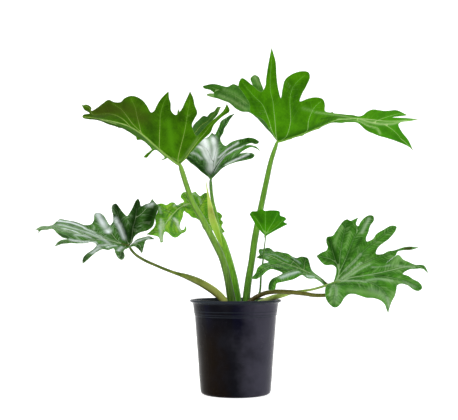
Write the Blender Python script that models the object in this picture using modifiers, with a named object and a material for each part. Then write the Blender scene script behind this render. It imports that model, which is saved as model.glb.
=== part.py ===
"""Potted lickety split philodendron: eight deeply split leaves on long stalks, in a black nursery pot.

Sizes are in millimetres and the mesh data in metres, +Z up. The origin is at the centre of the pot's
base, on the surface that it stands on. The front of the plant faces -Y.

Leaves and stalks are drawn from the front. A point is (across, up, depth): where it shows on the upright
plane through the pot's axis, seen from EYE, and how far behind that plane it lies.
"""

import math

import bmesh
import bpy
import numpy as np
from mathutils import Vector
from mathutils.geometry import delaunay_2d_cdt

MM = 0.001
EYE = np.array((-17.4, -2270.0, 340.0))

# Clearance round a piece that stands in a hole, and the widest gap that turned shapes close on their axis
GAP = 0.3
WELD = 0.00005

# Pot: (radius, height) of the outside from the base up, of the rolled lip, and of the inside from the top
POT_OUTSIDE = (
    (84.5, 0), (89.5, 2.2), (92.6, 8), (96, 55), (102.4, 138), (107, 197), (108.6, 201.5), (111.6, 228),
)
POT_LIP = (
    (114.2, 237.6), (118.8, 238.4), (120.4, 240.6), (120.4, 242.6), (118.8, 244.6), (116, 245), (112.6, 241),
)
POT_INSIDE = ((109.8, 228), (107, 203), (104.9, 196), (90.6, 10), (84.5, 2.5))
POT_FLOOR = 2.2
POT_SIDES = 48
DRAIN_HOLES = 6
DRAIN_RADIUS = 6
DRAIN_RING = 66
DRAIN_SIDES = 12

# Soil: clearance to the pot and to the crown, the height of its top, and its shoulder (inward, downward)
SOIL_GAP = 0.8
SEAT_GAP = 0.9
SOIL_TOP = 212
SOIL_SHOULDER = (6, 4)

# Crown: (radius, height) from its foot up, and the height of its top
CROWN = ((40, 172), (52, 208), (52, 214), (47, 222), (30, 227))
CROWN_TOP = 228
CROWN_SIDES = 24

# Blade: thickness, longest step along its edge, spacing of the points inside it, and how near the edge they
# may come as a share of that spacing
BLADE_THICKNESS = 1.0
EDGE_STEP = 17
INNER_STEP = 22
INNER_CLEAR = 0.6

# How far the sheet of a blade may leave its known points, so that a wavy edge doesn't crease it
SHEET_SLACK = 2.0

# Stalk: longest step along it, roundness, how far short of the blade it ends, and its radius there
STALK_STEP = 30
STALK_ROUNDNESS = 2
STALK_END_GAP = 1.0
STALK_END_RADIUS = 0.7

# Colours and roughness
BLADE_COLOURS = {
    "top_right": (0.07, 0.24, 0.01),
    "top_left": (0.05, 0.14, 0.005),
    "small": (0.02, 0.2, 0.005),
    "middle": (0.1, 0.22, 0.08),
    "low_left": (0.08, 0.2, 0.06),
    "young": (0.1, 0.4, 0.01),
    "low_right": (0.04, 0.22, 0.015),
    "turned_back": (0.04, 0.2, 0.02),
}
STALK_COLOURS = {
    "top_right": (0.08, 0.25, 0.02),
    "top_left": (0.09, 0.22, 0.02),
    "middle": (0.13, 0.38, 0.03),
    "low_left": (0.27, 0.38, 0.03),
    "young": (0.15, 0.4, 0.03),
    "small": (0.1, 0.3, 0.03),
    "low_right": (0.3, 0.45, 0.05),
    "turned_back": (0.07, 0.06, 0.01),
}
SHEATH_COLOUR = (0.45, 0.5, 0.12)
CROWN_COLOUR = (0.12, 0.08, 0.04)
SOIL_COLOUR = (0.035, 0.022, 0.014)
POT_COLOUR = (0.012, 0.012, 0.016)
BLADE_ROUGHNESS = 0.35
STALK_ROUGHNESS = 0.45
SHEATH_ROUGHNESS = 0.4
CROWN_ROUGHNESS = 0.8
SOIL_ROUGHNESS = 0.95
POT_ROUGHNESS = 0.35

# Leaves: the way the blade faces, its midrib from the stalk to its tip, guide points inside it that its
# surface passes through, and its edge. The edge starts and ends at the stalk, in runs that go from one
# sharp tip round the gap to the next.
LEAVES = {
    "top_right": {
        "facing": (0, 0.18, 1),
        "midrib": (
            (112, 664, 0), (153, 677, 3), (192, 691, 9), (231, 707, 16), (266, 722, 25), (296, 726, 36),
            (325, 727, 46), (360, 724, 58), (397, 720, 67), (435, 720, 74), (490, 724, 80),
        ),
        "guides": (),
        "edge": (
            (
                (112, 664, 0), (74, 721, -30), (40, 741, -50), (37, 765, -65), (19, 796, -80),
                (8, 815, -90), (17, 835, -98), (45, 816, -92), (70, 798, -80), (80, 814, -84),
                (82, 833, -90), (87, 867, -100), (97, 919, -112),
            ),
            (
                (97, 919, -112), (108, 879, -104), (111, 836, -92), (116, 803, -79), (122, 781, -71),
                (127, 807, -76), (133, 830, -82), (149, 844, -83), (177, 854, -81), (196, 851, -79),
                (200, 837, -74), (189, 811, -68), (178, 790, -59), (173, 772, -52), (193, 779, -51),
                (216, 783, -48), (233, 779, -44), (240, 763, -35), (240, 746, -25), (256, 741, -11),
                (272, 738, 3), (293, 736, 16), (312, 735, 26), (330, 732, 35), (341, 735, 38),
                (353, 744, 38), (369, 749, 36), (400, 745, 42), (432, 748, 46), (461, 735, 56),
            ),
            (
                (461, 735, 56), (440, 732, 59), (420, 729, 60), (440, 728, 65), (461, 727, 71),
                (490, 724, 80),
            ),
            (
                (490, 724, 80), (467, 719, 81), (443, 716, 83), (436, 711, 86), (440, 698, 95),
                (449, 684, 102), (461, 669, 110), (475, 638, 118),
            ),
            (
                (475, 638, 118), (462, 650, 116), (427, 665, 111), (388, 677, 102), (349, 693, 87),
                (326, 713, 74), (301, 714, 75), (278, 714, 78), (266, 733, 95), (260, 745, 114),
            ),
            (
                (260, 745, 114), (242, 737, 122), (229, 734, 120), (218, 749, 144), (202, 773, 197),
            ),
            (
                (202, 773, 197), (183, 760, 174), (170, 744, 148), (159, 776, 171), (162, 822, 222),
            ),
            (
                (162, 822, 222), (143, 798, 199), (130, 744, 152), (108, 776, 170), (98, 819, 205),
                (97, 849, 225),
            ),
            (
                (97, 849, 225), (86, 814, 195), (80, 781, 160), (75, 800, 165), (67, 823, 175),
                (61, 839, 185), (51, 844, 188), (41, 834, 184), (45, 814, 160), (36, 787, 135),
                (20, 807, 140), (6, 814, 144), (-6, 818, 146), (-19, 811, 146), (-29, 811, 148),
                (-47, 817, 152), (-63, 819, 156), (-89, 814, 162),
            ),
            (
                (-89, 814, 162), (-84, 807, 158), (-67, 802, 148), (-58, 795, 140), (-72, 794, 142),
                (-78, 790, 142), (-60, 782, 134), (-46, 778, 126), (-28, 771, 116), (-17, 767, 110),
                (1, 751, 98), (18, 743, 88), (36, 742, 80), (57, 725, 60), (84, 695, 30), (112, 664, 0),
            ),
        ),
    },
    "top_left": {
        "facing": (0, 0.3, 1),
        "midrib": (
            (-149, 603, -40), (-179, 624, -52), (-200, 642, -63), (-227, 665, -74), (-251, 686, -85),
            (-282, 705, -96), (-314, 716, -108), (-354, 724, -124), (-384, 729, -137), (-410, 731, -149),
        ),
        "guides": (),
        "edge": (
            (
                (-149, 603, -40), (-132, 619, -56), (-108, 647, -72), (-87, 669, -84), (-67, 688, -94),
                (-58, 708, -102), (-35, 731, -114), (-16, 746, -122), (-23, 766, -126),
            ),
            (
                (-23, 766, -126), (-32, 748, -121), (-52, 729, -108), (-74, 710, -98), (-92, 690, -90),
                (-104, 679, -84), (-112, 692, -90), (-116, 709, -98), (-109, 725, -106),
                (-102, 740, -114), (-109, 762, -124), (-113, 781, -132), (-122, 800, -140),
            ),
            (
                (-122, 800, -140), (-130, 782, -136), (-137, 766, -130), (-145, 749, -122),
                (-160, 735, -116), (-172, 747, -125), (-173, 766, -133), (-178, 783, -140),
                (-179, 800, -146),
            ),
            (
                (-179, 800, -146), (-190, 790, -147), (-201, 777, -145), (-211, 760, -141),
                (-218, 746, -136), (-226, 742, -134), (-237, 760, -140), (-249, 775, -149),
                (-264, 784, -158), (-280, 787, -165), (-297, 780, -168), (-307, 770, -167),
                (-324, 770, -168), (-340, 776, -173), (-353, 768, -172), (-372, 754, -168),
                (-385, 747, -165), (-386, 756, -163), (-393, 762, -164), (-402, 764, -166),
                (-408, 762, -167), (-413, 766, -168),
            ),
            (
                (-413, 766, -168), (-408, 755, -165), (-403, 748, -161), (-396, 744, -157),
                (-390, 739, -151), (-399, 738, -150), (-407, 736, -150), (-410, 731, -149),
            ),
            (
                (-410, 731, -149), (-407, 727, -143), (-394, 724, -135), (-378, 722, -121),
                (-359, 717, -105), (-338, 708, -89), (-313, 699, -72),
            ),
            (
                (-313, 699, -72), (-303, 698, -64), (-290, 691, -51), (-277, 683, -36), (-267, 676, -20),
                (-264, 666, -6),
            ),
            (
                (-264, 666, -6), (-253, 667, -12), (-243, 662, -11), (-235, 655, -2), (-227, 647, 10),
                (-223, 640, 20), (-235, 634, 28), (-246, 622, 36),
            ),
            (
                (-246, 622, 36), (-237, 620, 36), (-230, 628, 31), (-219, 639, 23), (-211, 640, 15),
                (-199, 631, 18), (-189, 622, 27), (-203, 612, 39),
            ),
            (
                (-203, 612, 39), (-186, 617, 30), (-176, 625, 18), (-167, 637, 18), (-161, 663, 45),
                (-159, 695, 82), (-157, 730, 112), (-154, 754, 125),
            ),
            (
                (-154, 754, 125), (-144, 727, 105), (-135, 674, 55), (-118, 691, 60), (-110, 708, 62),
                (-98, 721, 64), (-85, 732, 66), (-76, 730, 66), (-67, 740, 66), (-57, 746, 66),
                (-48, 758, 68), (-39, 758, 68),
            ),
            (
                (-39, 758, 68), (-48, 737, 58), (-74, 706, 42), (-103, 668, 15), (-127, 639, -12),
                (-149, 603, -40),
            ),
        ),
    },
    "small": {
        "facing": (0, 0.2, 1),
        "midrib": (
            (79, 414, -75), (95, 423, -75), (115, 433, -79), (138, 444, -86),
        ),
        "guides": (),
        "edge": (
            (
                (79, 414, -75), (66, 426, -84), (54, 440, -92), (45, 456, -100), (37, 469, -108),
            ),
            (
                (37, 469, -108), (43, 477, -110), (57, 478, -112), (70, 483, -113), (77, 479, -112),
                (92, 480, -112), (117, 477, -108), (119, 466, -102), (132, 461, -101), (134, 455, -98),
                (128, 450, -93), (138, 444, -86),
            ),
            (
                (138, 444, -86), (129, 443, -66), (118, 456, -46), (97, 469, -34), (76, 472, -32),
                (57, 469, -34), (48, 461, -42),
            ),
            (
                (48, 461, -42), (56, 444, -54), (67, 428, -66), (79, 414, -75),
            ),
        ),
    },
    "middle": {
        "facing": (0.1, -0.8, 0.6),
        "midrib": (
            (-66, 562, 116), (-57, 586, 118), (-43, 609, 121), (-23, 631, 124), (1, 648, 124),
            (28, 663, 118), (64, 663, 100),
        ),
        "guides": (
            (-121, 639, 118), (-105, 625, 116), (-89, 612, 114), (-76, 598, 113), (-81, 641, 150),
            (-63, 655, 172), (-57, 620, 140),
        ),
        "edge": (
            (
                (-66, 562, 116), (-50, 576, 106), (-35, 591, 98), (-13, 603, 88), (9, 610, 80),
                (31, 614, 72), (46, 619, 66), (51, 628, 68), (44, 633, 72), (28, 634, 82), (12, 632, 94),
                (28, 642, 90), (41, 648, 86), (55, 645, 78), (69, 636, 68),
            ),
            (
                (69, 636, 68), (57, 649, 78), (41, 654, 88), (29, 652, 96), (41, 658, 98), (56, 657, 98),
                (64, 663, 100),
            ),
            (
                (64, 663, 100), (53, 671, 104), (35, 675, 112), (18, 671, 120), (-6, 664, 146),
                (-25, 652, 166), (-37, 661, 187), (-40, 675, 204), (-33, 686, 203), (-30, 700, 205),
                (-20, 711, 199), (-13, 726, 197), (-2, 740, 193),
            ),
            (
                (-2, 740, 193), (-17, 734, 203), (-27, 726, 210), (-37, 718, 217), (-44, 703, 215),
                (-51, 690, 209), (-55, 683, 206), (-63, 688, 207),
            ),
            (
                (-63, 688, 207), (-73, 676, 203), (-91, 667, 192), (-111, 652, 168), (-128, 639, 120),
                (-143, 626, 86),
            ),
            (
                (-143, 626, 86), (-130, 615, 86), (-116, 603, 89), (-100, 589, 94), (-83, 575, 102),
                (-66, 562, 116),
            ),
        ),
    },
    "low_left": {
        "facing": (0, -0.6, 0.8),
        "midrib": (
            (-282, 385, -10), (-323, 397, -24), (-379, 411, -47), (-439, 423, -73), (-486, 432, -96),
            (-514, 431, -110), (-534, 430, -119),
        ),
        "guides": (
            (-312, 422, -2), (-307, 449, 4), (-275, 433, 2), (-243, 454, 12),
        ),
        "edge": (
            (
                (-282, 385, -10), (-273, 397, 5), (-269, 409, 11), (-257, 419, 9), (-233, 426, 10),
                (-219, 438, 14), (-213, 460, 17), (-207, 478, 19), (-204, 491, 20), (-211, 498, 21),
                (-222, 511, 23),
            ),
            (
                (-222, 511, 23), (-229, 500, 23), (-238, 497, 23), (-251, 491, 24), (-254, 502, 25),
                (-259, 511, 26), (-265, 506, 27), (-271, 493, 26), (-278, 478, 24), (-288, 463, 22),
                (-298, 473, 23), (-308, 487, 24), (-318, 498, 25), (-326, 491, 43), (-327, 479, 43),
                (-324, 465, 33), (-324, 453, 30), (-330, 440, 34), (-336, 444, 45), (-342, 453, 58),
                (-349, 465, 73), (-359, 472, 75), (-372, 472, 72), (-376, 465, 69), (-377, 452, 59),
                (-384, 442, 47), (-399, 440, 38), (-425, 449, 30), (-450, 454, 22), (-465, 456, 15),
                (-475, 449, 2), (-486, 440, -21), (-503, 436, -60), (-519, 434, -93), (-534, 430, -119),
            ),
            (
                (-534, 430, -119), (-523, 426, -116), (-527, 413, -121),
            ),
            (
                (-527, 413, -121), (-517, 426, -115), (-500, 428, -109), (-485, 428, -110),
                (-472, 416, -119), (-459, 406, -122), (-447, 403, -117), (-461, 401, -130),
                (-472, 395, -145), (-481, 382, -157),
            ),
            (
                (-481, 382, -157), (-462, 390, -143), (-443, 392, -128), (-398, 392, -100),
                (-381, 395, -86), (-369, 389, -78), (-374, 380, -93), (-393, 366, -123),
                (-405, 350, -152), (-405, 337, -162),
            ),
            (
                (-405, 337, -162), (-394, 347, -151), (-379, 359, -130), (-367, 369, -111),
                (-355, 375, -95), (-339, 373, -81), (-323, 377, -65), (-319, 366, -76), (-311, 354, -91),
                (-301, 348, -96), (-294, 355, -89), (-296, 372, -59), (-287, 378, -29), (-270, 383, -32),
                (-256, 375, -48), (-248, 365, -62),
            ),
            (
                (-248, 365, -62), (-242, 385, -44), (-235, 401, -23), (-225, 403, -14), (-212, 403, -6),
            ),
            (
                (-212, 403, -6), (-226, 410, -3), (-242, 408, -4), (-261, 402, -5), (-273, 392, -8),
                (-282, 385, -10),
            ),
        ),
    },
    "young": {
        "facing": (0, -0.9, 0.45),
        "midrib": (
            (-86, 449, 74), (-97, 478, 81), (-121, 497, 73), (-148, 487, 56), (-170, 465, 40),
            (-189, 438, 30), (-197, 414, 21), (-199, 394, 17),
        ),
        "guides": (),
        "edge": (
            (
                (-86, 449, 74), (-73, 434, 80), (-57, 423, 84), (-43, 419, 88), (-29, 423, 90),
                (-37, 437, 90), (-33, 448, 90), (-39, 456, 90), (-35, 464, 90), (-42, 473, 90),
                (-55, 479, 91), (-65, 494, 93), (-69, 513, 96), (-77, 527, 97), (-86, 524, 97),
                (-94, 518, 97), (-100, 522, 97), (-107, 529, 97), (-120, 525, 93), (-130, 529, 87),
                (-139, 528, 82), (-146, 518, 77), (-142, 508, 70), (-138, 502, 62), (-146, 499, 60),
                (-156, 494, 54), (-163, 500, 54), (-172, 501, 52), (-184, 494, 50), (-196, 498, 47),
                (-209, 495, 44), (-206, 483, 42), (-208, 473, 40), (-214, 462, 37), (-212, 445, 33),
                (-216, 435, 30), (-237, 416, 24),
            ),
            (
                (-237, 416, 24), (-220, 414, 22), (-204, 408, 20), (-199, 394, 17),
            ),
            (
                (-199, 394, 17), (-193, 396, 17), (-192, 408, 20), (-188, 423, 23), (-181, 421, 22),
                (-170, 411, 20), (-160, 407, 20), (-151, 410, 21), (-143, 418, 23), (-133, 423, 24),
                (-130, 430, 26), (-133, 439, 27),
            ),
            (
                (-133, 439, 27), (-137, 429, 26), (-143, 428, 27), (-148, 437, 30), (-146, 448, 34),
                (-141, 460, 42), (-137, 477, 52), (-127, 471, 62), (-117, 463, 67), (-102, 456, 72),
                (-86, 449, 74),
            ),
        ),
    },
    "low_right": {
        "facing": (0.1, -0.75, 0.65),
        "midrib": (
            (258, 288, -40), (279, 292, -46), (303, 301, -48), (334, 306, -47), (374, 313, -46),
            (414, 322, -43), (459, 332, -42), (488, 330, -52), (510, 314, -67),
        ),
        "guides": (),
        "edge": (
            (
                (258, 288, -40), (262, 301, -33), (266, 317, -23), (265, 328, -17), (256, 334, -10),
                (239, 333, -8), (228, 340, -5), (214, 359, 2),
            ),
            (
                (214, 359, 2), (228, 368, 8), (240, 373, 12), (244, 383, 18), (240, 394, 22),
                (242, 408, 28), (257, 412, 34), (264, 421, 39), (274, 436, 45), (288, 453, 51),
                (297, 456, 54), (305, 452, 54), (316, 457, 56), (327, 462, 59),
            ),
            (
                (327, 462, 59), (322, 452, 55), (320, 443, 52), (325, 438, 49), (332, 449, 52),
                (342, 460, 56), (355, 467, 59), (365, 465, 60), (367, 453, 56), (357, 438, 49),
                (352, 420, 40), (346, 405, 31), (348, 396, 25), (363, 403, 26), (373, 416, 33),
                (392, 428, 37), (412, 439, 42), (427, 437, 41), (424, 425, 36), (406, 403, 25),
                (395, 395, 21), (378, 381, 14), (372, 364, 3), (389, 364, 2), (403, 371, 3),
                (421, 374, 5), (445, 382, 8), (465, 384, 11), (486, 381, 11),
            ),
            (
                (486, 381, 11), (465, 375, 10), (445, 374, 7), (429, 370, 4), (425, 361, -3),
                (410, 348, -12), (398, 337, -18), (413, 349, -18), (431, 361, -19), (444, 348, -27),
                (456, 343, -33), (475, 336, -43), (498, 334, -56), (510, 314, -67),
            ),
            (
                (510, 314, -67), (500, 324, -66), (485, 324, -59), (460, 323, -46), (442, 311, -45),
                (458, 305, -52), (470, 297, -60), (485, 289, -71), (493, 275, -82), (483, 266, -84),
                (470, 269, -80), (454, 280, -71), (439, 285, -67), (427, 280, -69), (424, 268, -76),
                (420, 253, -86), (410, 235, -96), (406, 222, -103), (403, 208, -111),
            ),
            (
                (403, 208, -111), (398, 220, -108), (393, 231, -105), (381, 241, -103), (365, 246, -102),
                (346, 247, -103), (328, 253, -102), (312, 258, -99), (299, 257, -99), (289, 249, -101),
                (278, 233, -108), (270, 225, -110), (260, 223, -108), (248, 231, -104), (239, 245, -94),
                (236, 264, -80), (238, 276, -68), (248, 284, -54), (258, 288, -40),
            ),
        ),
    },
    "turned_back": {
        "facing": (0, -0.65, 0.75),
        "midrib": (
            (242, 284, -10), (213, 306, -6), (170, 325, 0), (128, 341, 6), (96, 357, 12), (73, 363, 20),
            (55, 355, 24),
        ),
        "guides": (),
        "edge": (
            (
                (242, 284, -10), (237, 291, -4), (221, 305, 4), (202, 318, 12), (197, 331, 18),
                (195, 342, 22), (191, 353, 28), (184, 356, 30), (171, 356, 30), (163, 354, 29),
                (150, 357, 31), (138, 364, 34), (122, 368, 36), (110, 371, 38), (102, 371, 38),
                (94, 377, 40), (85, 381, 40), (74, 378, 38), (63, 376, 36), (61, 369, 32), (64, 363, 29),
                (55, 355, 24),
            ),
            (
                (55, 355, 24), (65, 351, 18), (73, 350, 12), (87, 342, 0), (77, 339, -22),
                (67, 335, -40), (57, 325, -54), (53, 314, -64), (40, 299, -76),
            ),
            (
                (40, 299, -76), (55, 298, -72), (69, 306, -64), (80, 316, -54), (92, 323, -42),
                (105, 321, -40), (124, 314, -42), (115, 308, -50), (96, 298, -64), (88, 286, -72),
                (86, 270, -84),
            ),
            (
                (86, 270, -84), (96, 268, -86), (104, 270, -84), (109, 286, -72), (121, 288, -66),
                (138, 293, -58), (154, 297, -50), (166, 303, -44), (176, 307, -38), (187, 300, -40),
                (196, 298, -38), (209, 299, -34), (220, 291, -28), (234, 281, -18), (242, 284, -10),
            ),
        ),
    },
}

# Stalks from the crown to the blade: (across, up, depth, radius)
STALKS = {
    "top_right": (
        (25, 209, -15, 9), (27, 227, -13, 9.8), (28, 245, -11, 9.8), (34, 295, -6, 9.2),
        (43, 348, -3, 8.8), (50, 398, -1, 8.8), (57, 436, 0, 8.6), (67, 486, 2, 8), (83, 561, 3, 7.2),
        (95, 614, 2, 6.4), (108, 653, 0, 4.8),
    ),
    "top_left": (
        (-4, 209, -24, 9), (-6, 227, -22, 11.2), (-11, 245, -24, 11), (-21, 298, -29, 9.4),
        (-35, 351, -33, 8.8), (-55, 393, -36, 8.6), (-87, 454, -40, 8.2), (-113, 499, -41, 7.2),
        (-130, 545, -41, 6.8), (-145, 592, -40, 6),
    ),
    "middle": (
        (14, 209, 4, 9), (5, 227, 6, 11.8), (3, 245, 8, 12), (-6, 298, 16, 11.6), (-20, 351, 25, 11),
        (-34, 393, 33, 11), (-43, 416, 38, 9.8), (-49, 444, 46, 5.8), (-54, 476, 57, 5),
        (-60, 499, 68, 4.8), (-65, 534, 92, 4.6), (-66, 553, 108, 4.4),
    ),
    "low_left": (
        (-12, 206, 13, 7.5), (-21, 227, 12, 9), (-32, 243, 12, 9.8), (-54, 264, 11, 10.4),
        (-81, 282, 9, 10.2), (-102, 293, 7, 9.4), (-121, 301, 5, 8), (-134, 306, 4, 6.6),
        (-147, 310, 3, 5.2), (-163, 315, 2, 4.2), (-187, 324, 0, 3.8), (-213, 335, -2, 3.8),
        (-240, 347, -5, 3.8), (-264, 362, -8, 3.6), (-277, 376, -10, 3.4),
    ),
    "young": (
        (-4, 211, 35, 5), (-4, 232, 32, 5), (-12, 269, 42, 5), (-31, 335, 60, 4.6), (-52, 388, 80, 4.2),
        (-69, 417, 98, 4), (-85, 436, 98, 3.4), (-88, 445, 86, 2.2),
    ),
    "small": (
        (35, 209, 0, 3.2), (38, 224, -4, 3.4), (54, 240, -4, 3.2), (64, 265, -6, 2.9),
        (67, 303, -10, 2.6), (72, 343, -16, 2.2), (74, 361, -23, 2), (76, 380, -37, 1.8),
        (79, 406, -68, 1.6),
    ),
    "low_right": (
        (29, 206, 18, 5.2), (41, 224, 14, 5.8), (63, 236, 9, 6.6), (86, 245, 4, 6.8), (104, 251, 0, 6.6),
        (124, 255, -4, 5.6), (141, 260, -8, 4.6), (160, 264, -11, 3.8), (178, 267, -14, 3.2),
        (194, 269, -18, 3.1), (212, 273, -24, 3.1), (232, 279, -32, 3.2), (251, 285, -38, 3.2),
    ),
    "turned_back": (
        (20, 209, -37, 5.5), (24, 227, -35, 5.8), (39, 240, -38, 5.7), (51, 249, -40, 5.7),
        (63, 255, -42, 5.8), (78, 261, -42, 5.8), (95, 264, -42, 5.8), (115, 265, -42, 6),
        (136, 264, -43, 6), (152, 263, -44, 5.8), (169, 261, -46, 5.7), (186, 259, -48, 5.5),
        (202, 256, -50, 5.2), (218, 255, -50, 5), (239, 256, -48, 4.8), (260, 263, -38, 4.4),
        (260, 276, -24, 4), (250, 282, -14, 3.6),
    ),
}

# Sheath of the next leaf, on the middle leaf's stalk: (across, up, depth, radius)
SHEATH = (
    (-35, 383, 21, 2), (-44, 406, 22, 6.5), (-53, 433, 24, 9), (-63, 462, 26, 9.4), (-68, 491, 28, 6.4),
    (-73, 521, 32, 2.8), (-77, 545, 36, 1.4), (-80, 572, 39, 0.6),
)



def place(across, up, depth):
    """A drawn point in the part's frame, in millimetres: on its line of sight from EYE, at its depth."""
    reach = (depth - EYE[1]) / -EYE[1]
    return np.array((EYE[0] + (across - EYE[0]) * reach, depth, EYE[2] + (up - EYE[2]) * reach))


def placed(run):
    return np.array([place(*point[:3]) for point in run]).reshape(-1, 3)


def smooth(points, step):
    """A curve through the points (centripetal Catmull-Rom), which keeps them and adds more on long spans."""
    points = np.asarray(points, float)
    ends = np.vstack((2 * points[0] - points[1], points, 2 * points[-1] - points[-2]))
    found = [points[0]]
    for i in range(1, len(ends) - 2):
        p0, p1, p2, p3 = ends[i - 1 : i + 3]
        t1 = max(np.linalg.norm((p1 - p0)[:3]), 0.01) ** 0.5
        t2 = t1 + max(np.linalg.norm((p2 - p1)[:3]), 0.01) ** 0.5
        t3 = t2 + max(np.linalg.norm((p3 - p2)[:3]), 0.01) ** 0.5
        parts = max(1, math.ceil(np.linalg.norm((p2 - p1)[:3]) / step))
        for t in np.linspace(t1, t2, parts + 1)[1:]:
            a1 = p0 + (p1 - p0) * t / t1
            a2 = p1 + (p2 - p1) * (t - t1) / (t2 - t1)
            a3 = p2 + (p3 - p2) * (t - t2) / (t3 - t2)
            b1 = a1 + (a2 - a1) * t / t2
            b2 = a2 + (a3 - a2) * (t - t1) / (t3 - t1)
            found.append(b1 + (b2 - b1) * (t - t1) / (t2 - t1))
    return np.array(found)


def basis(facing):
    """Two directions across a plane and the way that it faces."""
    normal = np.array(facing, float)
    normal /= np.linalg.norm(normal)
    across = np.cross((0.0, 1.0, 0.0) if abs(normal[1]) < 0.7 else (0.0, 0.0, 1.0), normal)
    across /= np.linalg.norm(across)
    return np.array((across, np.cross(normal, across), normal))


def bend(distance):
    """The thin-plate kernel: a sheet bent as little as possible through its known points."""
    return distance**2 * np.log(distance + 1e-9)


class Sheet:
    """A smooth height over a plane through known points."""

    def __init__(self, flat, height):
        self.flat = flat
        count = len(flat)
        apart = np.linalg.norm(flat[:, None] - flat[None], axis=2)
        plane = np.column_stack((np.ones(count), flat))
        system = np.zeros((count + 3, count + 3))
        system[:count, :count] = bend(apart) + np.eye(count) * SHEET_SLACK
        system[:count, count:] = plane
        system[count:, :count] = plane.T
        self.weights = np.linalg.solve(system, np.concatenate((height, np.zeros(3))))

    def height(self, flat):
        apart = np.linalg.norm(flat[:, None] - self.flat[None], axis=2)
        plane = np.column_stack((np.ones(len(flat)), flat))
        return bend(apart) @ self.weights[:-3] + plane @ self.weights[-3:]


def inside(flat, loop):
    """Which points lie inside a closed outline."""
    start = loop
    end = np.roll(loop, -1, axis=0)
    x, y = flat[:, :1], flat[:, 1:]
    spans = (start[:, 1] > y) != (end[:, 1] > y)
    rise = end[:, 1] - start[:, 1]
    rise = np.where(rise == 0, 1e-9, rise)
    crossing = start[:, 0] + (y - start[:, 1]) * (end[:, 0] - start[:, 0]) / rise
    return ((spans & (x < crossing)).sum(axis=1) % 2) == 1


def inner_points(loop, fixed, step):
    """Staggered rows of points inside an outline, clear of the fixed points."""
    low, high = loop.min(axis=0), loop.max(axis=0)
    rows = np.arange(low[1], high[1], step * 0.87)
    columns = np.arange(low[0], high[0] + step, step)
    grid = np.array([(x + (i % 2) * step / 2, y) for i, y in enumerate(rows) for x in columns])
    grid = grid[inside(grid, loop)]
    apart = np.linalg.norm(grid[:, None] - fixed[None], axis=2).min(axis=1)
    return grid[apart > step * INNER_CLEAR]


def blade_sheet(leaf):
    """The blade's middle surface: its points in millimetres and its triangles."""
    axes = basis(leaf["facing"])
    edge = np.vstack([smooth(placed(run), EDGE_STEP)[:-1] for run in leaf["edge"]])
    midrib = smooth(placed(leaf["midrib"]), EDGE_STEP)[1:-1]
    known = np.vstack((edge, midrib)) @ axes.T
    held = np.vstack((known, placed(leaf["guides"]) @ axes.T))
    sheet = Sheet(held[:, :2], held[:, 2])
    loop = known[: len(edge), :2]
    grid = inner_points(loop, known[:, :2], INNER_STEP)
    flat = np.vstack((known[:, :2], grid))
    height = np.concatenate((known[:, 2], sheet.height(grid)))
    last = len(edge)
    tip = next(i for i, point in enumerate(edge) if np.allclose(point, place(*leaf["midrib"][-1])))
    chain = [0, *range(last, last + len(midrib)), tip]
    lines = [(i, (i + 1) % last) for i in range(last)] + list(zip(chain, chain[1:]))
    _, _, faces, sources, _, _ = delaunay_2d_cdt([Vector(p) for p in flat], lines, [], 1, 1e-5)
    assert all(sources), "an edge crosses itself in its plane"
    found = np.array([(*flat[source[0]], height[source[0]]) for source in sources])
    return found @ axes, faces


def add_material(obj, colour, roughness):
    material = bpy.data.materials.new(obj.name)
    material.use_nodes = True
    shader = material.node_tree.nodes["Principled BSDF"]
    shader.inputs["Base Color"].default_value = (*colour, 1)
    shader.inputs["Roughness"].default_value = roughness
    material.diffuse_color = (*colour, 1)
    obj.data.materials.append(material)


def add_object(name, data, group):
    obj = bpy.data.objects.new(name, data)
    group.objects.link(obj)
    return obj


def add_blade(name, leaf, colour, group):
    points, faces = blade_sheet(leaf)
    mesh = bpy.data.meshes.new(name)
    mesh.from_pydata([Vector(p) * MM for p in points], [], faces)
    blade = add_object(name, mesh, group)
    shell = blade.modifiers.new("Thickness", "SOLIDIFY")
    shell.thickness = BLADE_THICKNESS * MM
    shell.offset = 0
    add_material(blade, colour, BLADE_ROUGHNESS)


def stalk_route(name):
    """A stalk's points and radii, narrowed at the blade so that it ends just short of it."""
    route = [np.append(place(*point[:3]), point[3]) for point in STALKS[name]]
    joint = place(*LEAVES[name]["midrib"][0])
    way = route[-1][:3] - joint
    way /= np.linalg.norm(way)
    return route + [np.append(joint + way * STALK_END_GAP, STALK_END_RADIUS)]


def tube(name, points, group, clearance=0.0):
    """A tapering round stalk through (x, y, z, radius) points, as a curve."""
    points = [point + (0, 0, 0, clearance) for point in points]
    route = smooth(points, STALK_STEP)
    data = bpy.data.curves.new(name, "CURVE")
    data.dimensions = "3D"
    data.bevel_depth = MM
    data.bevel_resolution = STALK_ROUNDNESS
    data.use_fill_caps = True
    spline = data.splines.new("POLY")
    spline.points.add(len(route) - 1)
    for point, (x, y, z, radius) in zip(spline.points, route):
        point.co = (x * MM, y * MM, z * MM, 1)
        point.radius = radius
    return add_object(name, data, group)


def as_mesh(obj, group):
    """The same shape as one closed mesh, in place of the curve."""
    bpy.context.view_layer.update()
    graph = bpy.context.evaluated_depsgraph_get()
    mesh = bpy.data.meshes.new_from_object(obj.evaluated_get(graph))
    name = obj.name
    bm = bmesh.new()
    bm.from_mesh(mesh)
    bmesh.ops.remove_doubles(bm, verts=bm.verts, dist=WELD)
    bmesh.ops.recalc_face_normals(bm, faces=bm.faces)
    bm.to_mesh(mesh)
    bm.free()
    bpy.data.objects.remove(obj)
    mesh.name = name
    return add_object(name, mesh, group)


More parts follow.
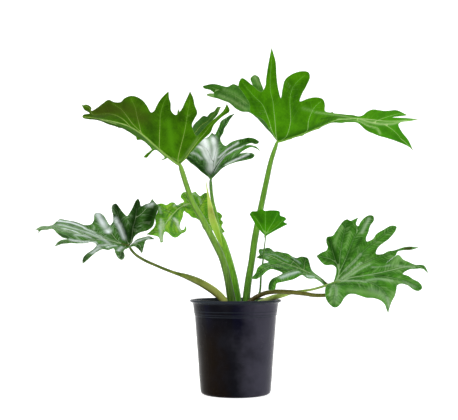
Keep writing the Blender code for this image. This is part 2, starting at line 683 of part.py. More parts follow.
def turned(name, profile, sides, group):
    """A closed (radius, height) profile turned about the upright axis."""
    mesh = bpy.data.meshes.new(name)
    count = len(profile)
    mesh.from_pydata([(r * MM, 0, z * MM) for r, z in profile], [(i, i + 1) for i in range(count - 1)], [])
    obj = add_object(name, mesh, group)
    screw = obj.modifiers.new("Turn", "SCREW")
    screw.steps = screw.render_steps = sides
    screw.use_merge_vertices = True
    screw.merge_threshold = WELD
    screw.use_normal_calculate = True
    return obj


def cut(obj, cutters):
    """Takes a collection of cutters out of an object."""
    boolean = obj.modifiers.new("Holes", "BOOLEAN")
    boolean.operation = "DIFFERENCE"
    boolean.operand_type = "COLLECTION"
    boolean.collection = cutters
    boolean.solver = "EXACT"


def new_collection(name, parent):
    group = bpy.data.collections.new(name)
    parent.children.link(group)
    return group


def hide_cutter(obj):
    obj.hide_render = True
    obj.display_type = "WIRE"


def add_pot(group, cutters):
    profile = [(0, 0), *POT_OUTSIDE, *POT_LIP, *POT_INSIDE, (0, POT_FLOOR)]
    pot = turned("pot", profile, POT_SIDES, group)
    for i in range(DRAIN_HOLES):
        turn = math.tau * i / DRAIN_HOLES
        bpy.ops.mesh.primitive_cylinder_add(
            vertices=DRAIN_SIDES,
            radius=DRAIN_RADIUS * MM,
            depth=5 * POT_FLOOR * MM,
            location=(DRAIN_RING * math.cos(turn) * MM, DRAIN_RING * math.sin(turn) * MM, POT_FLOOR * MM / 2),
        )
        hole = bpy.context.object
        hole.name = f"drain_cutter_{i + 1}"
        for owner in list(hole.users_collection):
            owner.objects.unlink(hole)
        cutters.objects.link(hole)
        hide_cutter(hole)
    cut(pot, cutters)
    add_material(pot, POT_COLOUR, POT_ROUGHNESS)


def add_soil(group):
    """A plug that fills the pot, with a round seat for the crown."""
    side = [(radius - SOIL_GAP, height) for radius, height in POT_INSIDE[2:4]]
    foot = side[1][1] + GAP
    inward, below = SOIL_SHOULDER
    top = [(side[0][0], SOIL_TOP - below), (side[0][0] - inward, SOIL_TOP)]
    crown_foot, crown_side = CROWN[:2]
    seat = [(crown_side[0], SOIL_TOP), crown_side, (crown_foot[0], crown_foot[1] - GAP)]
    seat = [(radius + SEAT_GAP, height) for radius, height in seat]
    profile = [(0, foot), (side[1][0], foot), side[0], *top, *seat, (0, seat[-1][1])]
    soil = turned("soil", profile, POT_SIDES, group)
    add_material(soil, SOIL_COLOUR, SOIL_ROUGHNESS)


def add_crown(group, cutters):
    """The short stem, with a hole for each stalk."""
    crown = turned("crown", [(0, CROWN[0][1]), *CROWN, (0, CROWN_TOP)], CROWN_SIDES, group)
    cut(crown, cutters)
    add_material(crown, CROWN_COLOUR, CROWN_ROUGHNESS)


def add_stalk(name, group, sockets):
    """A leaf's stalk, and the cutter of the hole that it stands in."""
    route = stalk_route(name)
    stalk = tube(f"petiole_{name}", route, group)
    add_material(stalk, STALK_COLOURS[name], STALK_ROUGHNESS)
    below = route[0][:3] - route[1][:3]
    deeper = route[0][:3] + below / np.linalg.norm(below) * GAP
    seat = [np.append(deeper, route[0][3]), *route[1:]]
    hide_cutter(as_mesh(tube(f"socket_{name}", seat, sockets, GAP), sockets))


def add_sheath(group, cutters):
    """The pointed sheath of the next leaf, shaped to the stalk that it lies against."""
    route = [np.append(place(*point[:3]), point[3]) for point in SHEATH]
    sheath = as_mesh(tube("sheath", route, group), group)
    hide_cutter(as_mesh(tube("hug", stalk_route("middle"), cutters, GAP), cutters))
    cut(sheath, cutters)
    add_material(sheath, SHEATH_COLOUR, SHEATH_ROUGHNESS)


def main():
    for obj in list(bpy.data.objects):
        bpy.data.objects.remove(obj)
    scene = bpy.context.scene.collection
    group = new_collection("potted_philodendron", scene)
    cutters = new_collection("cutters", scene)
    drains = new_collection("drains", cutters)
    sockets = new_collection("sockets", cutters)
    hugs = new_collection("hugs", cutters)
    add_pot(group, drains)
    add_soil(group)
    for name, leaf in LEAVES.items():
        add_blade(f"blade_{name}", leaf, BLADE_COLOURS[name], group)
    for name in STALKS:
        add_stalk(name, group, sockets)
    add_crown(group, sockets)
    add_sheath(group, hugs)


main()
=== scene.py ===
"""Looks of a potted lickety split philodendron: deeply split leaves with veins, in a black nursery pot.

Sizes are in millimetres. The origin is at the centre of the pot's base, +Z is up, and the front of the
plant faces -Y. Leaves and stalks are drawn on the photo: a point is (column, row, depth), its place there
in pixels, and how far it lies behind the upright plane through the pot's axis. on_plane() turns the
pixels into millimetres on that plane, and lain() gives a leaf's depths their lean.
"""

import heapq
import math
import random

import bpy
import numpy as np
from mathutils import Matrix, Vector, noise
from mathutils.bvhtree import BVHTree
from mathutils.geometry import delaunay_2d_cdt
from mathutils.kdtree import KDTree

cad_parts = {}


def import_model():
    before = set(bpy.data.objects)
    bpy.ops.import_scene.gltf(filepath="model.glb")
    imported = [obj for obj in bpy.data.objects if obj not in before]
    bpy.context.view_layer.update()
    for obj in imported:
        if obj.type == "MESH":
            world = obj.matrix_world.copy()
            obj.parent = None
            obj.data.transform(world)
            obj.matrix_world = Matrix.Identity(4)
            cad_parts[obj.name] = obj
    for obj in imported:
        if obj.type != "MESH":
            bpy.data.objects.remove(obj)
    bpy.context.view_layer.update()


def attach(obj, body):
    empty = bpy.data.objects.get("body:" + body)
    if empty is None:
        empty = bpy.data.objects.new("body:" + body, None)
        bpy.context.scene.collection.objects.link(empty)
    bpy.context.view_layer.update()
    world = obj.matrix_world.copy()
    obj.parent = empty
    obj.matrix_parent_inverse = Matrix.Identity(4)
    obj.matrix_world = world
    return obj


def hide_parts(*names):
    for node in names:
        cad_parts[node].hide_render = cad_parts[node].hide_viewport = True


MM = 0.001
EYE = np.array((-17.4, -2270.0, 340.0))

# Camera: sensor width and lens in millimetres, and how far it looks up in degrees
SENSOR = 36.0
LENS = 67.3
LOOK_UP = 3.55

# The photo that points are read from: its focal length, and the column and row of its middle, in pixels
FOCAL = 856.0
PHOTO_MIDDLE = (229.0, 210.0)

# Blade mesh: steps along its edge, its midrib and its veins, how near those the points inside it come, how
# far apart their rows are, how much wider the steps of the first meshes are, and how the sheet through its
# known points gives way to them
EDGE_STEP = 3.2
RIB_STEP = 4.0
VEIN_STEP = 3.6
INNER_CLEAR = 0.55
ROW_SHARE = 0.87
PLAIN_STEP_SHARE = 1.4
SHEET_SLACK = 2.0
SHEET_BLEND = 7.0

# Blade form: thickness, thickness of its rim, how far the quilting beside a vein spreads, height and spread
# of that beside a fine vein, then the curl and the waves of the edge, and how deep a drawn crease is
BLADE_THICKNESS = 0.7
RIM_THICKNESS = 0.4
QUILT_SPREAD = 11.0
FINE_QUILT = 0.35
FINE_SPREAD = 2.6
MARGIN_CURL = 0.9
MARGIN_SPREAD = 3.2
MARGIN_WAVE = 1.1
MARGIN_WAVE_LENGTH = 21.0
MARGIN_WAVE_SPREAD = 16.0
CREASE_DEPTH = 2.2

# Veins: half widths at the root and at the tip, how deep the groove over the midrib is, and how high a fine
# vein stands under the blade for its width
RIB_WIDTHS = (2.7, 0.7)
VEIN_WIDTHS = (1.2, 0.4)
FINE_WIDTHS = (0.35, 0.18)
TOP_GROOVE = 0.35
FINE_RIDGE = 0.6

# Vein routes: a lobe tip is the furthest point of its edge over TIP_SPAN either way, and stands out from
# the edge within TIP_SIDES. A lobe has its vein if one ends within TIP_REACHED of its tip, and its tip has
# no fine veins within TIP_BARE
TIP_SPAN = 10.0
TIP_SIDES = 60.0
TIP_STAND_OUT = 5.0
TIP_REACHED = 34.0
TIP_BARE = 13.0

# The spacing of the fine veins, the least points of a vein, how far short of the edge veins stop, how they
# shy from the edge, how readily they run along larger veins, and how much they are smoothed
FINE_SPACING = 12.0
SHORTEST_VEIN = 4
VEIN_STOP = 3.0
EDGE_SHY = 9.0
EDGE_SHY_OFFSET = 2.5
RIB_EASE = 0.58
VEIN_EASE = 0.72
VEIN_SMOOTHING = 10

# Samples along a vein, and the largest difference along it inside a triangle that doesn't span two veins
DENSE_STEP = 0.8
SEAM_RUN = 14.0

# Side veins: their spacing, how much they lean towards the tip, and how far from a main vein they fade
LATERAL_SPACING = 9.0
LATERAL_LEAN = 0.9
LATERAL_FADE = (34.0, 14.0)

# Painted gleams, highlights on the glossy leaves: across and along the side veins
GLEAM_WIDTH = 9.0
GLEAM_LENGTH = 34.0

# Drawn veins: how near its root a vein's first point may be, how near the edge it may come, and the longest
# leap between the places of two of its points
VEIN_SNAP = 4.0
VEIN_CLEAR = 0.9
LEAP_SHARE = 3.2
LEAP_FREE = 14.0

# Stalks: step along them, sides and gloss, how much thinner they are at the blade and how much thicker than
# the midrib at least, how thin the small leaf's midrib is, how far short of the blade they turn into it, how
# lumpy they are over what length, (height, number, turn) of their fine ribs, and (depth, turn, width) of
# their channel
STALK_STEP = 7.0
STALK_SIDES = 20
STALK_SPECULAR = 0.2
STALK_END_SHARE = 0.72
STALK_END_MORE = 0.3
SMALL_RIB = 0.5
STALK_END_SHORT = 0.12
STALK_LUMPS = 0.035
STALK_LUMP_LENGTH = 28.0
STALK_RIBS = ((0.012, 9, 0), (0.008, 14, 2))
STALK_CHANNEL = (0.1, 1.6, 0.45)

# Random shapes: how far the noise moves for each seed, and the seeds added for crumple and for stalk lumps
SEED_SHIFT = (7.1, 3.7, 1.9)
CRUMPLE_SEED = 5
STALK_SEED = 20

# Pot: (radius, height) of the outside, of the rolled lip and of the inside, and the step along each; how far
# the middle of its base is raised, its floor, where its middle closes, its sides and its drain holes
POT_OUTSIDE = (
    (79, 1.2), (83, 0.0), (87, 0.3), (90.2, 2.6), (92, 7), (92.7, 12), (96, 55), (99.3, 98), (102.4, 138),
    (107.1, 199), (107.3, 202.2), (108.3, 204.0), (108.8, 206.2), (108.3, 207.6), (109.5, 209.2),
    (110.0, 213), (111.7, 228), (113.0, 234.5),
)
POT_LIP = (
    (115.0, 237.6), (118.0, 238.0), (120.0, 239.6), (120.5, 241.6), (119.8, 243.6), (118.0, 244.8),
    (115.8, 244.6), (113.8, 242.6),
)
POT_INSIDE = ((111.6, 236), (110.0, 228), (107.2, 210), (105.4, 204), (100.4, 136), (90.8, 11), (84.5, 2.4))
POT_WALLS = ((POT_OUTSIDE, 7.0), (POT_LIP, 1.5), (POT_INSIDE, 12.0))
POT_BASE_RISE = 1.2
POT_FLOOR = 2.4
POT_CENTRE = 0.02
POT_SIDES = 160
DRAIN_HOLES = 6
DRAIN_RADIUS = 6
DRAIN_RING = 66
DRAIN_SIDES = 24

# Pot plastic: its colours, among them a painted lighter bluish reflection on the right and painted
# highlights on the lip and on lines round the collar, the heights of those lines, and the noises and ramps
# that mix them, in metres
POT_BLACK = (0.0015, 0.0015, 0.004)
POT_GREY = (0.006, 0.006, 0.009)
POT_RIGHT_SHEEN = (0.04, 0.038, 0.055)
POT_RIM_SHEEN = (0.02, 0.025, 0.032)
POT_BROWN = (0.005, 0.002, 0.0002)
POT_SCUFF = (0.03, 0.03, 0.04)
POT_BLUE = (0.0015, 0.0016, 0.009)
POT_SHEEN_LINES = (0.2153, 0.2072, 0.2026)
POT_SHEEN_LINE_RAMP = (0.0014, 0.0005, 0.0, 0.7)
POT_PATCHES = (14, 3, 0.6)
POT_PATCH_RAMP = (0.35, 0.65)
POT_PATCH_REACH = 0.12
POT_TO_FOOT = (0.21, 0.12)
POT_TO_LEFT = (0.05, 0.0)
POT_TO_RIGHT_SHEEN = (0.05, 0.14)
POT_TO_RIM_SHEEN = (0.232, 0.241)
POT_WASHES = ((22, 22, 2.5), 2, 0.5)
POT_WASH_RAMP = (0.45, 0.6)
POT_SCUFFS = ((30, 30, 260), 4, 0.7)
POT_SCUFF_RAMP = (0.62, 0.8)
POT_SCUFF_SHARE = 0.2
POT_DUST = (32, 5, 0.65)
POT_DUST_RAMP = (0.5, 0.85)
POT_RINGS = ((6, 6, 320), 2, 0.5)
POT_GRAIN = (700, 3, 0.6)
POT_GRAIN_SHARE = 0.3
POT_ROUGH = 0.15
POT_ROUGH_DUST = 0.16
POT_ROUGH_RINGS = 0.12
POT_BUMP_SHARE = 0.5
POT_SPECULAR = 0.045

# Soil bed: heights of its middle, of its top and of its underside, its radius and how much narrower its
# underside is, its rings and sides, (length, seed, height) of its waves and the most that they rise, and the
# height and spread of its mound
SOIL_MIDDLE = 209.0
SOIL_TOP = 210.0
SOIL_FOOT = 190.0
SOIL_RADIUS = 103.4
SOIL_FOOT_SHARE = 0.97
SOIL_RINGS = 46
SOIL_SIDES = 120
SOIL_WAVES = ((30.0, 31, 3.0), (9.0, 32, 1.8), (3.5, 33, 1.2))
SOIL_WAVE_TOP = 3.2
SOIL_MOUND = 4.0
SOIL_MOUND_SPREAD = 60

# What lies on the bed: (count, least size, largest size), how far from the wall, and the seed of its random
# draws. Then the corners and faces of a crumb, how far its corners stray, how much it is squashed along each
# axis, how far it tilts, and how far it stands out of the bed for its size
SOIL_CHIPS = (900, 1.2, 4.2)
SOIL_GRAINS = (70, 0.9, 1.9)
SOIL_MARGIN = 4.0
SOIL_SEED = 11
CRUMB_CORNERS = ((1, 0, 0), (-1, 0, 0), (0, 1, 0), (0, -1, 0), (0, 0, 1), (0, 0, -1))
CRUMB_FACES = ((0, 2, 4), (2, 1, 4), (1, 3, 4), (3, 0, 4), (2, 0, 5), (1, 2, 5), (3, 1, 5), (0, 3, 5))
CRUMB_STRAY = (0.6, 1.2)
CRUMB_SQUASH = ((0.7, 1.5), (0.5, 1.0), (0.3, 0.8))
CRUMB_TILT = 0.7
CRUMB_LIFT = 0.15

# Crown: (radius, height) of its outside, the step along it and its sides. Its scars are rings at CROWN_SCARS
# radians a millimetre that wander by CROWN_SCAR_WANDER. (length, seed, height) of its lumps, which sink into
# it by CROWN_LUMP_SINK and fade within CROWN_LUMP_FADE of its middle, and of the waves of its top
CROWN_OUTSIDE = ((40, 172), (50.5, 206), (51.2, 214), (45, 222.5), (26, 227.4), (0.05, 228))
CROWN_STEP = 2.5
CROWN_SIDES = 96
CROWN_SCARS = 0.85
CROWN_SCAR_WANDER = 2.0
CROWN_SCAR_HEIGHT = 0.6
CROWN_LUMPS = (16.0, 41, 1.6)
CROWN_LUMP_SINK = 0.8
CROWN_LUMP_FADE = 20
CROWN_TOP_WAVES = (10.0, 42, 1.2)
CROWN_TOP_RADIUS = 45

# Sheath: step along it and sides, then (depth, turn, width) of its fold, and depth and number of its ribs
SHEATH_STEP = 4.0
SHEATH_SIDES = 28
SHEATH_FOLD = (0.16, 4.2, 0.3)
SHEATH_RIBS = (0.02, 7)

# Colours of the soil, its chips and grains, the crown and the sheath, and how rough they are
SOIL_ROUGH = 0.92
CHIP_ROUGH = 0.85
GRAIN_ROUGH = 0.9
BARK_ROUGH = 0.8
SHEATH_ROUGH = 0.45
SOIL_DARK = (0.006, 0.004, 0.003)
SOIL_BROWN = (0.045, 0.026, 0.014)
SOIL_CLUMPS = (0.09, 0.055, 0.03)
CHIP_DARK = (0.02, 0.011, 0.006)
CHIP_BROWN = (0.13, 0.075, 0.04)
GRAIN_GREY = (0.5, 0.48, 0.42)
GRAIN_PALE = (0.75, 0.73, 0.68)
BARK_DARK = (0.03, 0.018, 0.008)
BARK_PALE = (0.17, 0.12, 0.055)
BARK_GREEN = (0.1, 0.16, 0.03)
SHEATH_FOOT = (0.3, 0.56, 0.03)
SHEATH_HEAD = (0.6, 0.76, 0.13)
SHEATH_TIP = (0.72, 0.72, 0.5)
SHEATH_BELLY = (0.26, 0.3, 0.04)
SHEATH_STREAKS = (0.35, 0.48, 0.12)

# Stage, in metres: how rough it is, its colours, how its glow grows from front to back and where, its flat
# radius, the bend up to its wall, its top, its sides and its rings. Then the light from all round
STAGE_ROUGH = 0.9
STAGE_FRONT = (0.42, 0.42, 0.42)
STAGE_BACK = (0.66, 0.66, 0.66)
STAGE_GLOW = (0.22, 0.75)
STAGE_GLOW_ROOM = (-1.5, -0.4)
STAGE_FLAT = 2.6
STAGE_BEND = 1.2
STAGE_TOP = 4.6
STAGE_SIDES = 96
STAGE_RINGS = (0.01, 0.7, 1.4, 2.1)
STAGE_BEND_RINGS = 16
WORLD_LIGHT = 0.1

# Lights: name, power, size, place and what it shines at, in metres
LIGHTS = (
    ("key", 21, (0.8, 0.8), (-1.5, -1.7, 2.2), (0, 0, 0.5)),
    ("fill", 3, (1.2, 1.2), (2.3, -1.7, 1.4), (0, 0, 0.45)),
    ("top", 25, (2.0, 1.8), (-0.2, 0.3, 2.3), (0, 0, 0.5)),
    ("rim", 6, (0.7, 1.6), (1.7, 1.2, 1.2), (0, 0, 0.6)),
    ("strip", 5, (0.5, 1.0), (2.0, -0.9, 0.4), (0, 0, 0.2)),
)

# Midribs that stand out thickly under the blade: share of their length, radius at the stalk and at the end,
# then how deep they sit in the blade and how many points each has
RIDGES = {"top_left": (0.86, 4.3, 1.0), "top_right": (0.42, 3.4, 1.4)}
RIDGE_SINK = 0.45
RIDGE_POINTS = 7

# Leaf looks, one row for each quality with a value for each leaf: colours of the upper and the under side
# from dark to light, the under side's bright green partly painted light shining through the blade, and of
# the tip, of the dark marks (painted shade, and darker green), of the light marks (painted highlights, and
# lighter green), of the pale marks (painted sheen and reflections, and some pale vein bands), and of the
# veins and edge; then gloss, how strongly fine veins, wrinkles, side veins with the painted shade between
# them and painted gleams show, the mesh's step, the height of the quilting, how far from the midrib it
# grows, the height and length of the crumple, and the seed
LEAF_NAMES = ("top_right", "top_left", "small", "middle", "low_left", "young", "low_right", "turned_back")
LEAF_LOOKS = {
    "top_low": (
        (0.018, 0.085, 0.004), (0.015, 0.07, 0.004), (0.014, 0.11, 0.002), (0.012, 0.08, 0.001),
        (0.016, 0.08, 0.003), (0.05, 0.26, 0.001), (0.018, 0.106, 0.003), (0.018, 0.105, 0.003),
    ),
    "top_high": (
        (0.06, 0.2, 0.02), (0.05, 0.17, 0.02), (0.036, 0.24, 0.004), (0.06, 0.24, 0.006),
        (0.07, 0.21, 0.03), (0.22, 0.58, 0.004), (0.074, 0.285, 0.013), (0.07, 0.28, 0.015),
    ),
    "under_low": (
        (0.028, 0.132, 0.0004), (0.024, 0.088, 0.0004), (0.017, 0.115, 0.0005), (0.05, 0.17, 0.01),
        (0.05, 0.18, 0.01), (0.08, 0.28, 0.004), (0.05, 0.2, 0.02), (0.05, 0.2, 0.02),
    ),
    "under_high": (
        (0.068, 0.262, 0.0015), (0.06, 0.2, 0.0008), (0.045, 0.23, 0.001), (0.1, 0.3, 0.03),
        (0.1, 0.3, 0.03), (0.16, 0.45, 0.02), (0.1, 0.32, 0.05), (0.1, 0.32, 0.05),
    ),
    "tip": (
        (0.055, 0.3, 0.012), (0.035, 0.07, 0.001), (0.03, 0.2, 0.006), (0.05, 0.2, 0.01),
        (0.14, 0.27, 0.11), (0.13, 0.4, 0.03), (0.07, 0.25, 0.03), (0.07, 0.25, 0.02),
    ),
    "dark": (
        (0.02, 0.095, 0.001), (0.022, 0.07, 0.001), (0.012, 0.07, 0.001), (0.005, 0.042, 0.001),
        (0.004, 0.026, 0.0002), (0.02, 0.14, 0.0005), (0.01, 0.065, 0.0005), (0.012, 0.07, 0.003),
    ),
    "light": (
        (0.09, 0.36, 0.004), (0.09, 0.3, 0.004), (0.09, 0.32, 0.006), (0.2, 0.36, 0.15), (0.3, 0.46, 0.25),
        (0.36, 0.66, 0.03), (0.22, 0.44, 0.12), (0.2, 0.44, 0.08),
    ),
    "pale": (
        (0.3, 0.5, 0.16), (0.36, 0.5, 0.16), (0.3, 0.5, 0.16), (0.93, 0.98, 0.98), (0.9, 0.98, 1.0),
        (0.66, 0.8, 0.6), (0.5, 0.68, 0.42), (0.62, 0.78, 0.68),
    ),
    "vein": (
        (0.42, 0.6, 0.22), (0.42, 0.53, 0.14), (0.2, 0.45, 0.08), (0.03, 0.09, 0.02), (0.4, 0.55, 0.3),
        (0.4, 0.62, 0.16), (0.3, 0.5, 0.2), (0.35, 0.52, 0.22),
    ),
    "edge": (
        (0.3, 0.48, 0.16), (0.2, 0.34, 0.08), (0.1, 0.3, 0.04), (0.3, 0.45, 0.25), (0.3, 0.42, 0.25),
        (0.2, 0.42, 0.08), (0.2, 0.38, 0.15), (0.28, 0.42, 0.2),
    ),
    "specular": (0.04, 0.04, 0.05, 0.07, 0.04, 0.3, 0.05, 0.07),
    "gloss": (0.36, 0.38, 0.4, 0.2, 0.24, 0.16, 0.3, 0.22),
    "fine": (0.12, 0.1, 0.1, 0.1, 0.15, 0.3, 0.3, 0.2),
    "wrinkle": (3.0, 3.0, 2.0, 8.0, 8.0, 9.0, 6.0, 7.0),
    "lateral": (0.12, 0.12, 0.15, 0.7, 0.5, 0.5, 0.34, 0.6),
    "streak": (0.0, 0.0, 0.0, 0.8, 0.75, 0.6, 0.6, 0.6),
    "step": (3.6, 3.2, 3.4, 3.8, 4.0, 3.8, 4.0, 3.8),
    "quilt": (2.4, 2.2, 0.9, 2.2, 2.4, 1.6, 2.4, 2.2),
    "calm": (24.0, 20.0, 4.0, 8.0, 8.0, 5.0, 8.0, 7.0),
    "crumple": (0.8, 0.9, 0.5, 1.6, 1.6, 4.0, 1.6, 1.2),
    "crumple_length": (34.0, 30.0, 16.0, 24.0, 24.0, 11.0, 26.0, 20.0),
    "seed": (1, 2, 3, 4, 5, 6, 7, 8),
}

# Kinds of drawn marks: pale ones are painted sheen and reflections and some pale vein bands, light ones
# painted highlights and lighter green, dark ones painted shade in folds, gaps and turned lobes and darker
# green, brown ones dry spots, and creases are folds. Then the colour of the brown ones
STROKE_KINDS = ("pale", "light", "dark", "brown", "crease")
BROWN = (0.05, 0.03, 0.008)

# Stalk colours at the foot, in the middle and at the leaf. Then the ways that its sides with painted shade
# face, with how much darker each is, and how its streaks, mottling and pores show
STALK_LOOKS = {
    "top_right": ((0.065, 0.22, 0.006), (0.13, 0.33, 0.02), (0.2, 0.4, 0.04)),
    "top_left": ((0.045, 0.12, 0.006), (0.19, 0.39, 0.04), (0.44, 0.62, 0.16)),
    "middle": ((0.12, 0.46, 0.006), (0.22, 0.5, 0.03), (0.06, 0.15, 0.06)),
    "low_left": ((0.85, 0.9, 0.22), (0.08, 0.13, 0.004), (0.06, 0.1, 0.012)),
    "young": ((0.15, 0.4, 0.03), (0.2, 0.45, 0.04), (0.2, 0.45, 0.05)),
    "small": ((0.05, 0.14, 0.01), (0.1, 0.28, 0.04), (0.2, 0.42, 0.08)),
    "low_right": ((0.85, 0.92, 0.4), (0.32, 0.46, 0.06), (0.14, 0.3, 0.05)),
    "turned_back": ((0.06, 0.03, 0.01), (0.11, 0.11, 0.012), (0.06, 0.11, 0.008)),
}
STALK_PAINTED_SHADES = (((-0.88, -0.1, -0.46), 0.85), ((0.95, 0.1, -0.3), 0.6))
STALK_PAINTED_SHADE_RAMP = (0.25, 0.95, 0.0)
STALK_MIDDLE = (0.0, 0.45)
STALK_HEAD = (0.5, 1.0)
STALK_STREAKS = ((260, 260, 14), 4, 0.65)
STALK_PALE_STREAK = (0.42, 0.75, 0.0, 0.4)
STALK_DARK_STREAK = (0.5, 0.25, 0.0, 0.45)
STALK_MOTTLE = (35, 4, 0.6)
STALK_MOTTLE_RAMP = (0.4, 0.8, 0.0, 0.35)
PORE_COLOUR = (0.5, 0.6, 0.35)
PORE_SCALE = 300
PORE_RAMP = (0.18, 0.1)
PORE_SHARE = 0.22
PORE_HEIGHT = 0.4
STALK_ROUGH = 0.27
STALK_ROUGH_SHARE = 0.25
STALK_BUMP_SHARE = 0.6

# Leaf skin. Noises are (scale, detail, roughness); ramps are (from, to) of what they read, then of what
# they give. What is read from the leaf's own fields is in millimetres
MOTTLE_NOISE = (26, 4, 0.6)
MOTTLE_RAMP = (0.3, 0.7)
SPOT_NOISE = (140, 3, 0.6)
SPOT_RAMP = (0.35, 0.7)
SPOT_SHARE = 0.12
TIP_RAMP = (0.45, 1.0)
TIP_SHARE = 0.6
PALE_SHARE = 1.7
BESIDE_VEIN = (7.0, 0.5, 0.0, 0.22)
BESIDE_RIB = (8.0, 1.0, 0.0, 0.25)
NET_SCALE = 230
NET_RAMP = (0.0, 0.12, 1.0, 0.0)
NET_SHARE = 0.1
WARP_NOISE = (45, 2)
WARP_REACH = 13.0
# The furrow and dip ramps place painted shade, and the gleam noise and ramp painted highlights
FURROW_SHADE_RAMP = (0.35, 0.0)
CREST_RAMP = (0.78, 1.0)
GLEAM_NOISE = (1.0, 2, 0.6)
GLEAM_RAMP = (0.5, 0.64)
DIP_SHADE_RAMP = (6.0, 2.2, 0.0, 0.5)
FINE_LINE = (2.6, 0.1)
VEIN_LINE = (1.2, 0.3)
RIB_LINE = (1.25, 0.8)
VEIN_SHOWN = 0.85
VEIN_LOST_IN_DARK = 0.55
VEIN_FADE = (50.0, 150.0, 1.0, 0.4)
RIB_SHOWN = 0.9
EDGE_RAMP = (1.3, 0.3, 0.0, 0.5)
ROUGH_NOISE = (60, 4, 0.6)
ROUGH_SHARE = 0.22
ROUGH_LESS = 0.06
ROUGH_UNDER = 0.3
GRAIN_NOISE = (420, 3, 0.6)
GRAIN_SHARE = 0.5
WRINKLE_NOISE = (75, 3, 0.6)
CREST_HEIGHT = -6.0
NET_HEIGHT = -0.6
FINE_HEIGHT = -1.0
LEAF_BUMP_SHARE = 0.7

# Depths of the bumps in the skins, in metres, at their full strength
LEAF_BUMP = 0.0004
STALK_BUMP = 0.0005
SHEATH_BUMP = 0.0006
POT_BUMP = 0.0006
SOIL_BUMP = 0.0016
BARK_BUMP = 0.0015
CHIP_BUMP = 0.001

# The way that each blade faces
FACINGS = {
    "top_right": (0, 0.18, 1),
    "top_left": (0, 0.3, 1),
    "small": (0, 0.2, 1),
    "middle": (0.1, -0.8, 0.6),
    "low_left": (0, -0.6, 0.8),
    "young": (0, -0.9, 0.45),
    "low_right": (0.1, -0.75, 0.65),
    "turned_back": (0, -0.65, 0.75),
}

# How the drawn depths of a leaf's midrib and edge are scaled and moved, and lean to one side, in
# millimetres for each pixel left (-1) or right (1) of a column: (scale, move, lean, side, column)
LEANS = {
    "top_right": (1, 0, 0.35, 1, 277),
    "top_left": (1, 0, -0.55, -1, 180),
    "middle": (1, 36, 0, 1, 0),
    "low_left": (1, 0, -0.6, -1, 129),
    "young": (1.25, 2, 0, 1, 0),
    "low_right": (1, 0, -0.45, 1, 333),
}
NO_LEAN = (1, 0, 0, 1, 0)

# The upright lobes of low_left stand straighter than drawn: the column and row where that starts, the
# pixels until it is full, the depth that they stand at and the share of their drawn depth that is left
STAND_COLUMN = (104, 12)
STAND_ROW = (241, -10)
STAND_DEPTH = -10
STAND_SHARE = 0.34

# The upper part of the middle leaf lies further back than drawn: the row, column and depth where that
# starts, each with the pixels or millimetres until it is full, and how much further it lies
LIE_ROW = (168, -30)
LIE_COLUMN = (240, -20)
LIE_DEPTH = (100, 20)
LIE_MORE = 55

# The midrib of each leaf, from the stalk to its tip
MIDRIBS = {
    "top_right": (
        (277.5, 141.5, 0), (292.7, 136.8, -2), (307.4, 131.4, -2), (322, 125.4, 0), (335, 119.9, 5),
        (346, 118.6, 12), (357, 118.3, 18), (370, 119.3, 25), (384, 120.6, 30), (398, 120.6, 32),
        (418.8, 119.2, 30),
    ),
    "top_left": (
        (179.8, 164.3, -40), (168.3, 156.4, -46), (160.5, 149.8, -52), (150.4, 141.1, -58),
        (141.5, 133.2, -64), (130, 126.3, -68), (118, 122.3, -74), (103, 119.2, -82), (92, 117.4, -89),
        (82.2, 116.6, -95),
    ),
    "small": ((265.4, 235.1, -75), (271.5, 231.9, -75), (279, 228.1, -79), (287.6, 224, -86)),
    "middle": (
        (210.6, 179.7, 80), (214, 170.5, 82), (219.5, 162, 85), (227, 154, 88), (236, 147.5, 88),
        (246, 142, 82), (259.4, 142, 64),
    ),
    "low_left": (
        (129.3, 246, -10), (113.9, 241.5, -15), (92.5, 236.2, -25), (70.2, 231.9, -38), (52.3, 228.5, -50),
        (42, 228.9, -58), (34.4, 229.3, -62),
    ),
    "young": (
        (203, 222, 58), (199, 211, 63), (190, 204, 57), (180, 207.5, 43), (171.5, 216, 30),
        (164.5, 226, 22), (161.3, 235, 15), (160.4, 242.6, 12),
    ),
    "low_right": (
        (333.2, 283, -40), (341, 281.2, -42), (350, 278, -40), (362, 276, -34), (377, 273.3, -26),
        (392, 270, -16), (409, 266.2, -8), (420, 266.8, -13), (428.4, 272.9, -24),
    ),
    "turned_back": (
        (327, 284.3, -10), (316, 276, -6), (300, 268.8, 0), (284, 262.8, 6), (272, 256.5, 12),
        (263, 254.5, 20), (256.4, 257.5, 24),
    ),
}

# Points inside a blade that its surface passes through
GUIDES = {
    "middle": (
        (190, 151, 118), (196, 156, 116), (202, 161, 114), (207, 166, 113), (205, 150, 150),
        (212, 145, 172), (214, 158, 140),
    ),
    "low_left": ((118, 232, -2), (120, 222, 4), (132, 228, 2), (144, 220, 12)),
}

